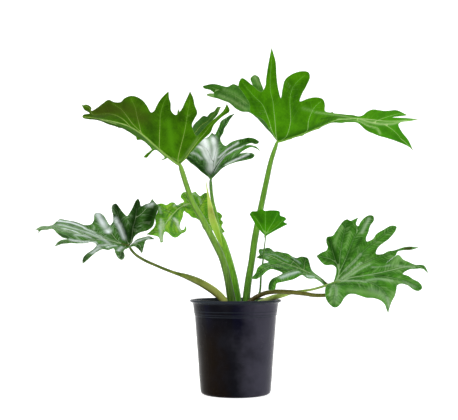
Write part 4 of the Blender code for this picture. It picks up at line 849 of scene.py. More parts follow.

# Marks seen in the photo: (kind, half width in millimetres, strength, route in columns and rows)
# Pale, light and dark marks are painted sheen and reflections, painted highlights and painted shade, and in
# places the leaf's own pale veins and lighter or darker green
STROKES = {
    "top_right": (
        ("dark", 12, 0.7, ((206, 86.5), (218, 92), (230, 99), (242, 107))),
        ("dark", 9, 0.75, ((279, 139), (291, 136), (304, 131.5), (318, 125.5), (330, 119.5))),
        ("dark", 8, 0.5, ((263, 123), (272, 134))),
        ("dark", 6, 0.45, ((294.5, 108), (296, 122))),
        ("dark", 5, 0.5, ((317, 115), (314, 122), (312, 127))),
        ("dark", 7, 0.4, ((385, 130), (396, 136), (405, 144))),
        ("dark", 4, 0.6, ((331, 118), (335, 116.5))),
        ("pale", 3.6, 0.3, ((303, 108.6), (313, 111))),
        ("pale", 2.8, 0.55, ((316, 112.6), (324, 113.8), (338, 115.6), (348, 117), (357, 118.2))),
        ("pale", 2.4, 0.6, ((338, 118.6), (348, 119.8), (358, 121.4))),
        ("pale", 4.6, 0.75, (
            (358, 119), (367, 121.6), (379, 123.6), (392, 123.8), (405, 120.8), (416, 118.9),
        )),
        ("pale", 2.6, 0.7, ((361, 121.6), (369, 126.4), (377, 128.6), (380, 133.6))),
        ("pale", 5, 0.3, ((224, 90), (236, 95), (246, 103))),
        ("pale", 5, 0.4, ((220, 96), (233, 102), (246, 110))),
        ("pale", 6, 0.4, ((254, 76), (259, 85))),
        ("dark", 3, 0.6, ((242, 84), (250, 96), (256, 110))),
        ("dark", 5, 0.5, ((290, 80), (297, 92), (294, 100))),
        ("dark", 2.2, 0.9, ((322, 119.6), (331, 117.6), (340, 116.8), (350, 118.6))),
        ("dark", 1.8, 0.8, ((334, 121), (344, 120.6), (354, 121))),
        ("brown", 3, 0.9, ((411.6, 148.6), (413.2, 151))),
    ),
    "top_left": (
        ("dark", 7, 0.9, ((92, 118.4), (106, 123), (120, 128), (134, 134), (146, 141.6))),
        ("brown", 24, 0.5, ((96, 112), (112, 110), (130, 110), (141, 118))),
        ("dark", 7, 0.6, ((184, 108), (179.6, 120))),
        ("dark", 8, 0.5, ((196, 122), (194, 128))),
        ("dark", 12, 0.45, ((148, 116), (152, 132))),
        ("pale", 2.8, 0.7, ((102, 120), (116, 124.6))),
        ("pale", 3, 0.3, ((172, 158), (180, 161), (190, 148.6), (198, 138))),
        ("light", 9, 0.6, ((169, 122), (171, 140), (173, 152))),
        ("light", 7, 0.5, ((186.4, 95), (187, 106))),
    ),
    "small": (
        ("dark", 7, 0.5, ((256, 214), (262, 222))),
        ("light", 4, 0.5, ((278, 222), (268, 231))),
    ),
    "middle": (
        ("dark", 9, 0.95, ((185, 156.6), (193, 162), (201, 169), (206, 174))),
        ("pale", 14, 1.0, ((204, 141), (207, 151), (210, 159), (211.4, 168))),
        ("pale", 9, 1.0, ((200, 147), (205, 156), (210, 167))),
        ("pale", 9, 1.0, ((213, 139), (214.6, 149), (214.6, 158), (212.6, 170))),
        ("pale", 4.6, 0.95, ((217, 165), (224, 156.6), (235, 150), (245, 146))),
        ("pale", 3, 0.9, ((219, 158), (228, 149.6), (238, 143))),
        ("pale", 3, 0.8, ((226, 165), (238, 159), (249, 154))),
        ("pale", 5, 0.5, ((190, 152.6), (196, 155), (201, 159))),
        ("dark", 3, 0.8, ((205.6, 158.4), (211, 151), (216, 145))),
        ("dark", 3, 0.7, ((209, 150), (213.6, 142))),
        ("dark", 2.6, 0.9, ((216, 161), (223, 154), (231, 147.6))),
        ("dark", 2.6, 0.9, ((220, 167), (229, 160.4), (238, 156))),
        ("dark", 1.6, 0.9, ((204, 146), (206.4, 155), (209.6, 163))),
        ("dark", 4, 0.95, ((213, 147), (218, 141), (221, 133))),
        ("dark", 4, 0.8, ((221.6, 131), (225.6, 122), (231, 116.6))),
        ("dark", 3.6, 0.8, ((240, 140.4), (249, 138.8), (256, 140.6))),
        ("dark", 5, 0.9, ((234, 160.4), (243, 158), (252, 156.4))),
        ("dark", 3, 0.7, ((214, 176), (224, 167))),
        ("dark", 4, 0.7, ((209, 172), (213, 170))),
        ("crease", 5, 1.0, ((207, 171), (210.6, 160), (216, 145))),
        ("crease", 4, 0.8, ((216, 161), (231, 148))),
    ),
    "low_left": (
        ("dark", 17, 1.0, ((116, 205), (120, 220), (126, 234))),
        ("dark", 17, 1.0, ((137, 203), (134, 220), (130, 238))),
        ("dark", 17, 1.0, ((153, 210), (148, 222), (138, 234))),
        ("dark", 2.4, 0.8, ((64, 231), (78, 234), (92, 238))),
        ("dark", 2, 0.7, ((66, 226), (80, 230), (94, 235))),
        ("dark", 2.4, 0.8, ((100, 224), (106, 232), (114, 239))),
        ("dark", 3, 0.8, ((94, 214), (96, 222))),
        ("light", 4, 0.6, ((100, 236), (110, 240), (120, 243))),
        ("dark", 6, 0.9, ((123.6, 253), (121.4, 258))),
        ("dark", 5, 0.9, ((60, 235), (67, 238))),
        ("dark", 5, 0.9, ((85, 257), (82.4, 263))),
        ("dark", 5, 0.7, ((56, 225.6), (53, 229))),
        ("dark", 5, 0.8, ((112, 210), (115, 216))),
        ("dark", 4, 0.7, ((138, 247), (141, 251.6))),
        ("brown", 2.6, 1.0, ((38, 233), (36.8, 235.4))),
        ("brown", 2.6, 0.9, ((71.6, 221.6), (74, 222))),
        ("brown", 2.8, 1.0, ((150.6, 200.4), (152, 198.6))),
        ("brown", 3.6, 0.7, ((127, 245.6), (130, 245))),
        ("pale", 4, 0.95, ((58, 222), (70, 222.4), (82, 227), (94, 233))),
        ("pale", 3, 0.9, ((62, 229), (74, 231.6), (86, 236))),
        ("pale", 8, 0.95, ((98, 215), (102, 222), (109, 232))),
        ("pale", 3, 0.8, ((84, 229), (96, 235), (106, 241))),
        ("pale", 3, 0.8, ((70, 240), (84, 242), (96, 243))),
        ("pale", 3, 0.8, ((107, 248), (116, 246.4))),
        ("pale", 3, 0.8, ((134, 243), (141, 240.4), (149, 238))),
        ("pale", 5, 0.7, ((115.6, 219), (119.4, 226), (124, 238))),
        ("pale", 5, 0.6, ((92, 253.4), (99, 248))),
        ("pale", 4, 0.7, ((118, 251), (122, 247.6))),
        ("pale", 4, 0.6, ((152.6, 204), (147, 205.4))),
        ("pale", 4, 0.5, ((75, 236), (90, 238))),
        ("pale", 9, 0.4, ((60, 226), (76, 230), (94, 236), (108, 243))),
        ("pale", 4, 0.5, ((86, 244), (98, 246), (110, 245))),
        ("dark", 1.6, 0.8, ((70, 226), (84, 230), (97, 236))),
        ("crease", 5, 0.8, ((113, 222), (119, 236), (124, 243))),
    ),
    "young": (
        ("pale", 3, 0.6, ((163, 222), (163.6, 229))),
        ("dark", 4, 0.8, ((171, 226), (174, 216), (178, 209))),
        ("dark", 3, 0.7, ((166, 211), (172, 206))),
        ("pale", 2.4, 0.7, ((174, 205.4), (180, 204.4))),
        ("pale", 2.2, 0.7, ((199, 197), (201, 203))),
        ("dark", 4, 0.7, ((197, 206), (200, 213))),
        ("light", 4, 0.8, ((184, 218), (181, 226))),
        ("pale", 4, 0.75, ((160, 226), (161, 233), (161, 240))),
        ("light", 5, 0.7, ((168, 207), (170, 216), (168, 226))),
        ("light", 5, 0.7, ((176, 222), (177, 231))),
        ("pale", 3, 0.6, ((193, 193.6), (197, 196))),
        ("pale", 3, 0.5, ((159, 208), (161, 213))),
        ("dark", 4, 0.7, ((180, 207), (176, 214))),
        ("dark", 5, 0.7, ((186, 205), (191, 208))),
        ("dark", 3.4, 0.6, ((163, 214), (165, 222))),
        ("dark", 3.4, 0.6, ((187, 198), (192, 200))),
        ("light", 6, 0.7, ((203, 200), (202, 210))),
        ("dark", 4, 0.6, ((216, 214), (217, 224))),
        ("dark", 3.4, 0.95, ((184, 206.6), (189, 208.4))),
        ("dark", 2.6, 0.9, ((176.6, 205.6), (178.6, 208.6))),
        ("pale", 3.4, 0.95, ((174, 219), (177.6, 222.4))),
        ("pale", 3.6, 0.8, ((177, 224), (180.6, 230))),
        ("pale", 3.4, 0.8, ((161, 220), (161, 231), (161.8, 240))),
        ("pale", 1.4, 0.9, ((183.6, 205), (187.6, 204.6))),
        ("pale", 1.4, 0.9, ((171, 216), (168.6, 220.4))),
        ("dark", 1.8, 0.9, ((166, 219.4), (168.4, 213), (172.6, 209))),
        ("dark", 1.8, 0.9, ((176.6, 212), (174.4, 217.6))),
        ("dark", 2.2, 0.8, ((170, 233), (175, 235))),
        ("light", 5, 0.8, ((167, 204.6), (171, 206))),
        ("light", 4, 0.8, ((200, 208), (197, 214))),
    ),
    "low_right": (
        ("dark", 9, 1.0, ((329, 240), (334, 252), (337, 264))),
        ("dark", 4, 0.7, ((348, 262), (354, 250), (362, 238))),
        ("dark", 4, 0.6, ((362, 262), (376, 250), (388, 240))),
        ("light", 7, 0.8, ((394, 263), (400, 258))),
        ("dark", 5, 0.7, ((324, 259), (331, 262))),
        ("light", 6, 0.6, ((388, 270), (402, 268), (414, 270))),
        ("pale", 3, 0.5, ((372, 268), (388, 266), (402, 266.4), (414, 267))),
        ("light", 10, 0.6, ((350, 291), (366, 293), (380, 297))),
        ("pale", 9, 0.22, ((336, 288), (337, 300))),
        ("pale", 9, 0.22, ((371, 290), (382, 295), (387, 302))),
        ("pale", 5, 0.3, ((404, 282), (414, 287))),
        ("pale", 3.4, 0.5, ((366, 281), (378, 279.4), (392, 281))),
        ("dark", 4, 0.7, ((341, 285), (354, 285), (366, 287))),
        ("dark", 5, 0.5, ((349, 224), (344, 242))),
        ("dark", 5, 0.5, ((352, 246), (346, 258))),
        ("dark", 4, 0.95, ((376, 276.4), (384, 276))),
        ("dark", 5, 0.5, ((376, 262), (390, 260), (402, 264))),
        ("dark", 4, 0.8, ((409, 270.6), (405, 273.4))),
        ("light", 7, 0.7, ((392, 258), (398, 257), (404, 262))),
        ("light", 9, 0.8, ((344, 277), (356, 269), (368, 261))),
        ("pale", 2.2, 0.8, ((340, 280.4), (350, 272.4), (361, 263))),
        ("pale", 2.2, 0.7, ((344, 280), (355, 273), (370, 264.6))),
        ("dark", 2, 0.9, ((342, 281), (356, 275.6), (374, 270))),
        ("dark", 2.4, 0.8, ((343, 274), (352, 266), (362, 256.6))),
        ("dark", 3, 0.8, ((341, 272), (346, 262), (352, 250))),
        ("light", 4, 0.6, ((346, 246), (350, 233), (356, 224))),
        ("light", 4, 0.7, ((334, 250), (336, 240), (341, 228))),
        ("pale", 2, 0.6, ((335, 284.6), (337, 290), (336.6, 297))),
        ("pale", 2, 0.6, ((333.6, 285), (331, 290), (329.6, 296))),
        ("light", 7, 0.7, ((393, 294), (389, 302))),
        ("pale", 2.8, 0.7, ((334, 283), (342, 281.4), (354, 281), (366, 282.6))),
        ("pale", 2.8, 0.5, ((345, 271), (353, 263), (361, 254))),
        ("pale", 4, 0.6, ((369, 219), (365, 226), (362, 233))),
        ("pale", 2.4, 0.5, ((342, 222), (337, 230))),
        ("pale", 4, 0.5, ((387, 298), (388.6, 307))),
        ("light", 6, 0.7, ((385, 280), (400, 283))),
        ("light", 5, 0.5, ((331, 292), (332, 302))),
        ("brown", 3, 1.0, ((405, 248.6), (412, 248), (418.6, 247.8))),
        ("brown", 2.4, 0.9, ((427, 271.6), (428.4, 272.8))),
    ),
    "turned_back": (
        ("pale", 5, 0.9, ((281, 278), (289, 275), (298, 273))),
        ("pale", 3.6, 0.9, ((307, 276.8), (313, 277))),
        ("dark", 3, 0.9, ((274, 268), (282, 271), (292, 270))),
        ("dark", 3, 0.8, ((298, 263), (291, 259))),
        ("pale", 2, 0.6, ((292, 257.6), (296, 260.4), (300, 264))),
        ("pale", 1.8, 0.45, ((266, 254), (276, 256), (288, 262))),
        ("pale", 3.2, 0.3, ((262, 252), (268, 258.4))),
        ("pale", 3, 0.6, ((261, 263.6), (268, 264.4))),
        ("light", 1.8, 0.9, ((277, 261), (291, 265), (304, 269.4))),
        ("light", 1.8, 0.9, ((272.6, 264.6), (286, 268.8), (300, 273))),
        ("dark", 1.8, 0.8, ((276, 263), (289, 267), (302, 271.4))),
        ("dark", 6, 1.0, ((273, 280), (270, 284), (269.4, 289))),
        ("dark", 4, 0.5, ((270, 254), (284, 260))),
        ("dark", 4, 0.6, ((274, 268.4), (283, 269))),
        ("dark", 4, 0.6, ((256, 276), (262, 271))),
        ("light", 4, 0.4, ((284, 257), (298, 264))),
        ("light", 4, 0.6, ((312, 277), (320, 281))),
    ),
}


def place(across, up, depth):
    """A drawn point in the part's frame, in millimetres: on its line of sight from EYE, at its depth."""
    reach = (depth - EYE[1]) / -EYE[1]
    return np.array((EYE[0] + (across - EYE[0]) * reach, depth, EYE[2] + (up - EYE[2]) * reach))


def on_plane(column, row, *rest):
    """A point of the photo in whole millimetres across and up on the plane through the pot's axis."""
    tilt = math.radians(LOOK_UP)
    right = (column - PHOTO_MIDDLE[0]) / FOCAL
    above = (PHOTO_MIDDLE[1] - row) / FOCAL
    reach = -EYE[1] / (math.cos(tilt) - above * math.sin(tilt))
    across = EYE[0] + reach * right
    up = EYE[2] + reach * (above * math.cos(tilt) + math.sin(tilt))
    return (round(float(across)), round(float(up)), *rest)


def read_off(points):
    """Points of the photo on the plane through the pot's axis."""
    return [on_plane(*point) for point in points]


def grown(value, start, span):
    """How far a value has come from where a change starts to where it is full, from 0 to 1."""
    return min(1.0, max(0.0, (value - start) / span))


def leaned(name, column, row, depth):
    """A point of a leaf with the depth that the whole leaf's lean gives it."""
    scale, move, lean, side, start = LEANS.get(name, NO_LEAN)
    return column, row, round(depth * scale + move + lean * max(0, side * (column - start)))


def lain(name, column, row, depth):
    """A point of a leaf's edge with the depth that its lean and its lobes' own stand give it."""
    depth = leaned(name, column, row, depth)[2]
    if name == "low_left":
        share = grown(column, *STAND_COLUMN) * grown(row, *STAND_ROW)
        depth = round(depth + share * ((STAND_DEPTH + (depth - STAND_DEPTH) * STAND_SHARE) - depth))
    if name == "middle":
        share = grown(row, *LIE_ROW) * grown(column, *LIE_COLUMN)
        depth = round(depth + LIE_MORE * share * grown(depth, *LIE_DEPTH))
    return column, row, depth


def drawn_rib(name):
    """The drawn points of a leaf's midrib."""
    return read_off([leaned(name, *point) for point in MIDRIBS[name]])


def placed(run):
    """Drawn points in the part's frame."""
    return np.array([place(*point[:3]) for point in run]).reshape(-1, 3)


def smooth(points, step):
    """A curve through the points (centripetal Catmull-Rom), which keeps them and adds more between them."""
    points = np.asarray(points, float)
    ends = np.vstack((2 * points[0] - points[1], points, 2 * points[-1] - points[-2]))
    found = [points[0]]
    for i in range(1, len(ends) - 2):
        p0, p1, p2, p3 = ends[i - 1 : i + 3]
        t1 = max(np.linalg.norm((p1 - p0)[:3]), 0.01) ** 0.5
        t2 = t1 + max(np.linalg.norm((p2 - p1)[:3]), 0.01) ** 0.5
        t3 = t2 + max(np.linalg.norm((p3 - p2)[:3]), 0.01) ** 0.5
        parts = max(1, math.ceil(np.linalg.norm((p2 - p1)[:3]) / step))
        for t in np.linspace(t1, t2, parts + 1)[1:]:
            a1 = p0 + (p1 - p0) * t / t1
            a2 = p1 + (p2 - p1) * (t - t1) / (t2 - t1)
            a3 = p2 + (p3 - p2) * (t - t2) / (t3 - t2)
            b1 = a1 + (a2 - a1) * t / t2
            b2 = a2 + (a3 - a2) * (t - t1) / (t3 - t1)
            found.append(b1 + (b2 - b1) * (t - t1) / (t2 - t1))
    return np.array(found)


def basis(facing):
    """Two directions across a plane and the way that it faces."""
    normal = np.array(facing, float)
    normal /= np.linalg.norm(normal)
    across = np.cross((0.0, 1.0, 0.0) if abs(normal[1]) < 0.7 else (0.0, 0.0, 1.0), normal)
    across /= np.linalg.norm(across)
    return np.array((across, np.cross(normal, across), normal))


def bend(distance):
    """The thin-plate kernel: a sheet bent as little as possible through its known points."""
    return distance**2 * np.log(distance + 1e-9)


class Sheet:
    """A smooth height over a plane through known points."""

    def __init__(self, flat, height):
        self.flat = flat
        count = len(flat)
        apart = np.linalg.norm(flat[:, None] - flat[None], axis=2)
        plane = np.column_stack((np.ones(count), flat))
        system = np.zeros((count + 3, count + 3))
        system[:count, :count] = bend(apart) + np.eye(count) * SHEET_SLACK
        system[:count, count:] = plane
        system[count:, :count] = plane.T
        self.weights = np.linalg.solve(system, np.concatenate((height, np.zeros(3))))

    def height(self, flat):
        apart = np.linalg.norm(flat[:, None] - self.flat[None], axis=2)
        plane = np.column_stack((np.ones(len(flat)), flat))
        return bend(apart) @ self.weights[:-3] + plane @ self.weights[-3:]


def inside(flat, loop):
    """Which points lie inside a closed outline."""
    start = loop
    end = np.roll(loop, -1, axis=0)
    x, y = flat[:, :1], flat[:, 1:]
    spans = (start[:, 1] > y) != (end[:, 1] > y)
    rise = end[:, 1] - start[:, 1]
    rise = np.where(rise == 0, 1e-9, rise)
    crossing = start[:, 0] + (y - start[:, 1]) * (end[:, 0] - start[:, 0]) / rise
    return ((spans & (x < crossing)).sum(axis=1) % 2) == 1


def tree_of(points):
    """A tree that finds the nearest of some points."""
    tree = KDTree(len(points))
    for i, point in enumerate(points):
        tree.insert((*point, 0.0) if len(point) == 2 else point, i)
    tree.balance()
    return tree


def inner_points(loop, fixed, step):
    """Staggered rows of points inside an outline, clear of the fixed points."""
    low, high = loop.min(axis=0), loop.max(axis=0)
    rows = np.arange(low[1], high[1], step * ROW_SHARE)
    columns = np.arange(low[0], high[0] + step, step)
    grid = np.array([(x + (i % 2) * step / 2, y) for i, y in enumerate(rows) for x in columns])
    grid = grid[inside(grid, loop)]
    tree = tree_of(fixed)
    return np.array([point for point in grid if tree.find((*point, 0.0))[2] > step * INNER_CLEAR])


def triangles(flat, lines):
    """The triangles inside the outline, with the sources of their points."""
    points, _, faces, sources, _, _ = delaunay_2d_cdt([Vector(p) for p in flat], lines, [], 1, 1e-5)
    return np.array([tuple(p) for p in points]), faces, sources


def lobe_tips(reach):
    """The edge points that lie furthest along the blade from the stalk, one for each lobe."""
    span = round(TIP_SPAN / EDGE_STEP)
    wide = round(TIP_SIDES / EDGE_STEP)
    tips = []
    for i, here in enumerate(reach):
        near = reach.take(range(i - span, i + span + 1), mode="wrap")
        before = reach.take(range(i - wide, i), mode="wrap").min()
        after = reach.take(range(i + 1, i + wide + 1), mode="wrap").min()
        if here >= near.max() and here - max(before, after) > TIP_STAND_OUT:
            if not tips or i - tips[-1] > span / 2:
                tips.append(i)
    return tips


def cheapest(neighbours, points, clear, start, eased, shy):
    """The cost from the start to each point and the way back, along the easiest route through the blade."""
    cost = np.full(len(points), np.inf)
    back = np.full(len(points), -1)
    cost[start] = 0
    waiting = [(0.0, start)]
    while waiting:
        here_cost, here = heapq.heappop(waiting)
        if here_cost > cost[here]:
            continue
        for there in neighbours[here]:
            length = math.dist(points[here], points[there])
            ease = eased.get((here, there))
            if ease is None:
                ease = 1 + shy / ((clear[here] + clear[there]) / 2 + EDGE_SHY_OFFSET)
            new = here_cost + length * ease
            if new < cost[there]:
                cost[there] = new
                back[there] = here
                heapq.heappush(waiting, (new, there))
    return cost, back


def wide_neighbours(count, faces):
    """For each point, the points within two edges of it."""
    near = [set() for _ in range(count)]
    for a, b, c in faces:
        near[a] |= {b, c}
        near[b] |= {a, c}
        near[c] |= {a, b}
    wide = []
    for i in range(count):
        reach = set(near[i])
        for j in near[i]:
            reach |= near[j]
        reach.discard(i)
        wide.append(sorted(reach))
    return wide


def resampled(path, step):
    """The same way in even steps."""
    lengths = np.linalg.norm(np.diff(path, axis=0), axis=1)
    along = np.concatenate(((0,), np.cumsum(lengths)))
    count = max(2, round(along[-1] / step) + 1)
    wanted = np.linspace(0, along[-1], count)
    return np.column_stack([np.interp(wanted, along, path[:, k]) for k in range(path.shape[1])])


def eased_path(path):
    """The same way with its corners smoothed away and its ends kept."""
    path = path.copy()
    for _ in range(VEIN_SMOOTHING):
        path[1:-1] = (path[:-2] + 2 * path[1:-1] + path[2:]) / 4
    return path


class Network:
    """The veins of one blade: midrib, drawn veins, one to each other lobe, and fine veins between."""

    def __init__(self, flat, height, loop_count, rib_chain, faces, drawn):
        self.points = np.column_stack((flat, height))
        self.rib_chain = rib_chain
        loop = self.points[:loop_count]
        tree = tree_of(loop)
        self.clear = np.array([tree.find(point)[2] for point in self.points])
        self.neighbours = wide_neighbours(len(flat), faces)
        self.used = {node: ("rib", k) for k, node in enumerate(rib_chain)}
        self.eased = {}
        self.veins = list(drawn)
        start = rib_chain[0]
        reach, _ = cheapest(self.neighbours, self.points, self.clear, start, {}, 0.0)
        tips = [tip for tip in lobe_tips(reach[:loop_count]) if tip != rib_chain[-1]]
        self.ease(rib_chain, RIB_EASE)
        for k, vein in enumerate(self.veins):
            self.ease(vein["nodes"], VEIN_EASE)
            for node in vein["nodes"][1:]:
                self.used[node] = ("vein", k)
        ends = [self.points[vein["nodes"][-1]] for vein in self.veins]
        bare = [tip for tip in tips if all(math.dist(self.points[tip], end) > TIP_REACHED for end in ends)]
        self.grow(bare, "vein", VEIN_EASE)
        places = [self.points[tip] for tip in [*tips, rib_chain[-1]]]
        spacing = max(1, round(FINE_SPACING / EDGE_STEP))
        spread = range(0, loop_count, spacing)
        fine = [i for i in spread if min(math.dist(loop[i], place) for place in places) > TIP_BARE]
        self.grow(fine, "fine", None)

    def ease(self, chain, share):
        for a, b in zip(chain, chain[1:]):
            self.eased[a, b] = self.eased[b, a] = share

    def grow(self, ends, kind, share):
        start = self.rib_chain[0]
        cost, back = cheapest(self.neighbours, self.points, self.clear, start, self.eased, EDGE_SHY)
        for end in sorted(ends, key=lambda i: -cost[i]):
            path = [end]
            while path[-1] not in self.used and back[path[-1]] >= 0:
                path.append(back[path[-1]])
            if path[-1] not in self.used or len(path) < SHORTEST_VEIN:
                continue
            root = self.used[path[-1]]
            for node in path[:-1]:
                self.used[node] = ("vein", len(self.veins))
            if share:
                self.ease(path, share)
            self.veins.append({"kind": kind, "root": root, "path": path[::-1]})


def joined(fixed, lines, loop, step):
    """A mesh of the blade's plane: its points, and its triangles by number among them."""
    flat = np.vstack((fixed, inner_points(loop, fixed, step)))
    _, faces, sources = triangles(flat, lines)
    faces = [tuple(sources[i][0] if sources[i] else -1 for i in face) for face in faces]
    return flat, [face for face in faces if min(face) >= 0]


def sight_hits(route, tree):
    """Where the lines of sight through a drawn route first meet a blade, without leaps to another lobe."""
    eye = Vector(EYE)
    hits = []
    last = None
    for across, up in route:
        here = Vector((across, 0.0, up))
        hit = tree.ray_cast(eye, (here - eye).normalized())[0]
        if hit is None:
            continue
        if hits and math.dist(hit, hits[-1]) > LEAP_SHARE * (here - last).length + LEAP_FREE:
            continue
        hits.append(tuple(hit))
        last = here
    return np.array(hits).reshape(-1, 3)


def drawn_veins(routes, tree, axes, sheet, fixed, lines, chain, loop):
    """Adds the drawn veins to the fixed points and lines of the blade's plane."""
    veins = []
    edge_tree = tree_of(loop)
    for route in routes:
        hits = (sight_hits(route, tree) @ axes.T)[:, :2]
        if len(hits) < 2:
            continue
        options = [*chain[:-1], *(i for vein in veins for i in vein["nodes"])]
        flat = np.array([fixed[i] for i in options] + [hits[0]])
        places = np.column_stack((flat, sheet.height(flat)))
        apart = np.linalg.norm(places[:-1] - places[-1], axis=1)
        root = options[int(np.argmin(apart))]
        if apart.min() < VEIN_SNAP:
            hits = hits[1:]
        path = smooth(np.vstack((fixed[root], hits)), VEIN_STEP / 2)
        path = resampled(np.column_stack((path, sheet.height(path))), VEIN_STEP)[1:, :2]
        clear = np.array([edge_tree.find((*point, 0.0))[2] for point in path])
        bad = np.flatnonzero(~inside(path, loop) | (clear < VEIN_CLEAR))
        if len(bad):
            path = path[: bad[0]]
        if len(path) < 2:
            continue
        first = len(fixed)
        fixed.extend(path)
        nodes = [root, *range(first, len(fixed))]
        lines += list(zip(nodes, nodes[1:]))
        veins.append({"kind": "vein", "nodes": nodes})
    return veins


def whole_edge(name):
    """The edge of a leaf from the stalk round to it again."""
    last = MIDRIBS[name][0]
    runs = []
    for run in EDGES[name]:
        drawn = read_off([lain(name, *point) for point in (last, *run)])
        runs.append(smooth(placed(drawn), EDGE_STEP)[:-1])
        last = run[-1]
    return np.vstack(runs)


def blade_mesh(name, step):
    """The blade's middle surface in millimetres: points, triangles, their distances to edge and veins."""
    axes = basis(FACINGS[name])
    edge = whole_edge(name)
    rib = smooth(placed(drawn_rib(name)), RIB_STEP)[1:-1]
    tip = int(np.argmin(np.linalg.norm(edge - place(*drawn_rib(name)[-1]), axis=1)))
    known = np.vstack((edge, rib)) @ axes.T
    held = np.vstack((known, placed(read_off(GUIDES.get(name, ()))) @ axes.T))
    sheet = Sheet(held[:, :2], held[:, 2])
    loop_count = len(edge)
    loop = known[:loop_count, :2]
    chain = [0, *range(loop_count, loop_count + len(rib)), tip]
    lines = [(i, (i + 1) % loop_count) for i in range(loop_count)]
    lines += list(zip(chain, chain[1:]))

    # A plain mesh, on which the drawn veins are found
    flat, faces = joined(known[:, :2], lines, loop, PLAIN_STEP_SHARE * step)
    tree = BVHTree.FromPolygons(np.column_stack((flat, sheet.height(flat))) @ axes, faces)
    fixed = list(known[:, :2])
    veins = [read_off(vein) for vein in VEINS.get(name, ())]
    drawn = drawn_veins(veins, tree, axes, sheet, fixed, lines, chain, loop)

    # A second one, on which the other veins find their way
    flat, faces = joined(np.array(fixed), lines, loop, PLAIN_STEP_SHARE * step)
    network = Network(flat, sheet.height(flat), loop_count, chain, faces, drawn)

    # The final mesh follows every vein
    for vein in network.veins[len(drawn) :]:
        path = eased_path(flat[vein["path"]])
        kind, number = vein["root"]
        options = chain if kind == "rib" else network.veins[number]["nodes"]
        root = min(options, key=lambda i: math.dist(fixed[i], path[0]))
        path[0] = fixed[root]
        path = eased_path(path)
        path = resampled(np.column_stack((path, sheet.height(path))), VEIN_STEP)[:, :2]
        stop = max(1, round(VEIN_STOP / VEIN_STEP))
        path = path[1:-stop]
        first = len(fixed)
        fixed.extend(path)
        vein["nodes"] = [root, *range(first, len(fixed))]
        lines += list(zip(vein["nodes"], vein["nodes"][1:]))
    fixed = np.array(fixed)
    grid = inner_points(loop, fixed, step)
    flat, faces, sources = triangles(np.vstack((fixed, grid)), lines)
    height = sheet.height(flat)

    # The edge and midrib keep their own heights, and the sheet nearby follows them
    loop_tree = tree_of(known[:, :2])
    own = sheet.height(known[:, :2])
    for i, point in enumerate(flat):
        _, nearest, distance = loop_tree.find((*point, 0.0))
        height[i] += (known[nearest, 2] - own[nearest]) * math.exp(-distance / SHEET_BLEND)
    points = np.column_stack((flat, height)) @ axes

    # Distances, in space, to the edge, midrib, veins and fine veins, with the veins' half widths
    rib_places = np.vstack((edge[:1], rib, edge[tip : tip + 1]))
    samples = {"edge": [(p, 0.0, 0.0) for p in dense(edge, True)], "rib": tapered(rib_places, RIB_WIDTHS)}
    samples |= {"vein": [], "fine": []}
    where = {i: k for k, source in enumerate(sources) for i in source}
    for vein in network.veins:
        route = points[[where[i] for i in vein["nodes"]]]
        if len(route) > 1:
            samples[vein["kind"]] += tapered(route, VEIN_WIDTHS if vein["kind"] == "vein" else FINE_WIDTHS)
    fields = {}
    for kind, marks in samples.items():
        marks_tree = tree_of([mark[0] for mark in marks])
        found = [marks_tree.find(point) for point in points]
        fields[kind] = np.array([f[2] for f in found])
        fields[kind + "_width"] = np.array([marks[f[1]][1] for f in found])
        fields[kind + "_run"] = np.array([marks[f[1]][2] for f in found])
    fields |= lateral_fields(fields, faces)
    rib_tree = tree_of(rib_places)
    fields["along"] = np.array([rib_tree.find(point)[1] / (len(rib_places) - 1) for point in points])
    strokes = [(*stroke[:3], read_off(stroke[3])) for stroke in STROKES.get(name, ())]
    fields |= stroke_fields(strokes, points, faces)
    return points, faces, fields


def lateral_fields(fields, faces):
    """How far each point is from its nearest main vein and along it, and 0 where two veins' sides meet."""
    on_rib = fields["rib"] < fields["vein"]
    run = np.where(on_rib, fields["rib_run"], fields["vein_run"])
    whole = np.ones(len(run))
    corners = np.array(faces)
    spread = np.ptp(run[corners], axis=1)
    whole[corners[spread > SEAM_RUN].ravel()] = 0
    for unused in ("edge_run", "rib_run", "vein_run", "fine_run", "edge_width"):
        del fields[unused]
    return {"run": run, "side": np.minimum(fields["rib"], fields["vein"]), "whole": whole}


def stroke_fields(strokes, points, faces):
    """How strongly the drawn strokes of each kind mark each point of the blade."""
    tree = BVHTree.FromPolygons(points, [tuple(face) for face in faces])
    fields = {kind: np.zeros(len(points)) for kind in STROKE_KINDS}
    for kind, width, strength, route in strokes:
        hits = sight_hits(route, tree)
        if not len(hits):
            continue
        marks = tree_of(dense(hits) if len(hits) > 1 else hits)
        apart = np.array([marks.find(point)[2] for point in points])
        fields[kind] = np.maximum(fields[kind], strength * np.exp(-((apart / width) ** 2)))
    return fields


def dense(path, closed=False):
    """Close samples along a path."""
    if closed:
        path = np.vstack((path, path[:1]))
    return resampled(path, DENSE_STEP)


def tapered(path, widths):
    """Close samples along a vein, with its half width and the distance from its root at each."""
    points = dense(path)
    return list(zip(points, np.linspace(*widths, len(points)), DENSE_STEP * np.arange(len(points))))


def point_normals(points, faces):
    """The way that the surface faces at each point."""
    corners = points[np.array(faces)]
    cross = np.cross(corners[:, 1] - corners[:, 0], corners[:, 2] - corners[:, 0])
    normals = np.zeros_like(points)
    for k in range(3):
        np.add.at(normals, np.array(faces)[:, k], cross)
    return normals / np.maximum(np.linalg.norm(normals, axis=1, keepdims=True), 1e-9)


def edge_ring(faces):
    """The points round the open edge, in order."""
    follows = {}
    seen = set()
    for a, b, c in faces:
        seen |= {(a, b), (b, c), (c, a)}
    for a, b in seen:
        if (b, a) not in seen:
            follows[a] = b
    start = min(follows)
    ring = [start]
    while follows[ring[-1]] != start:
        ring.append(follows[ring[-1]])
        assert len(ring) <= len(follows), "the blade's edge isn't one ring"
    return ring


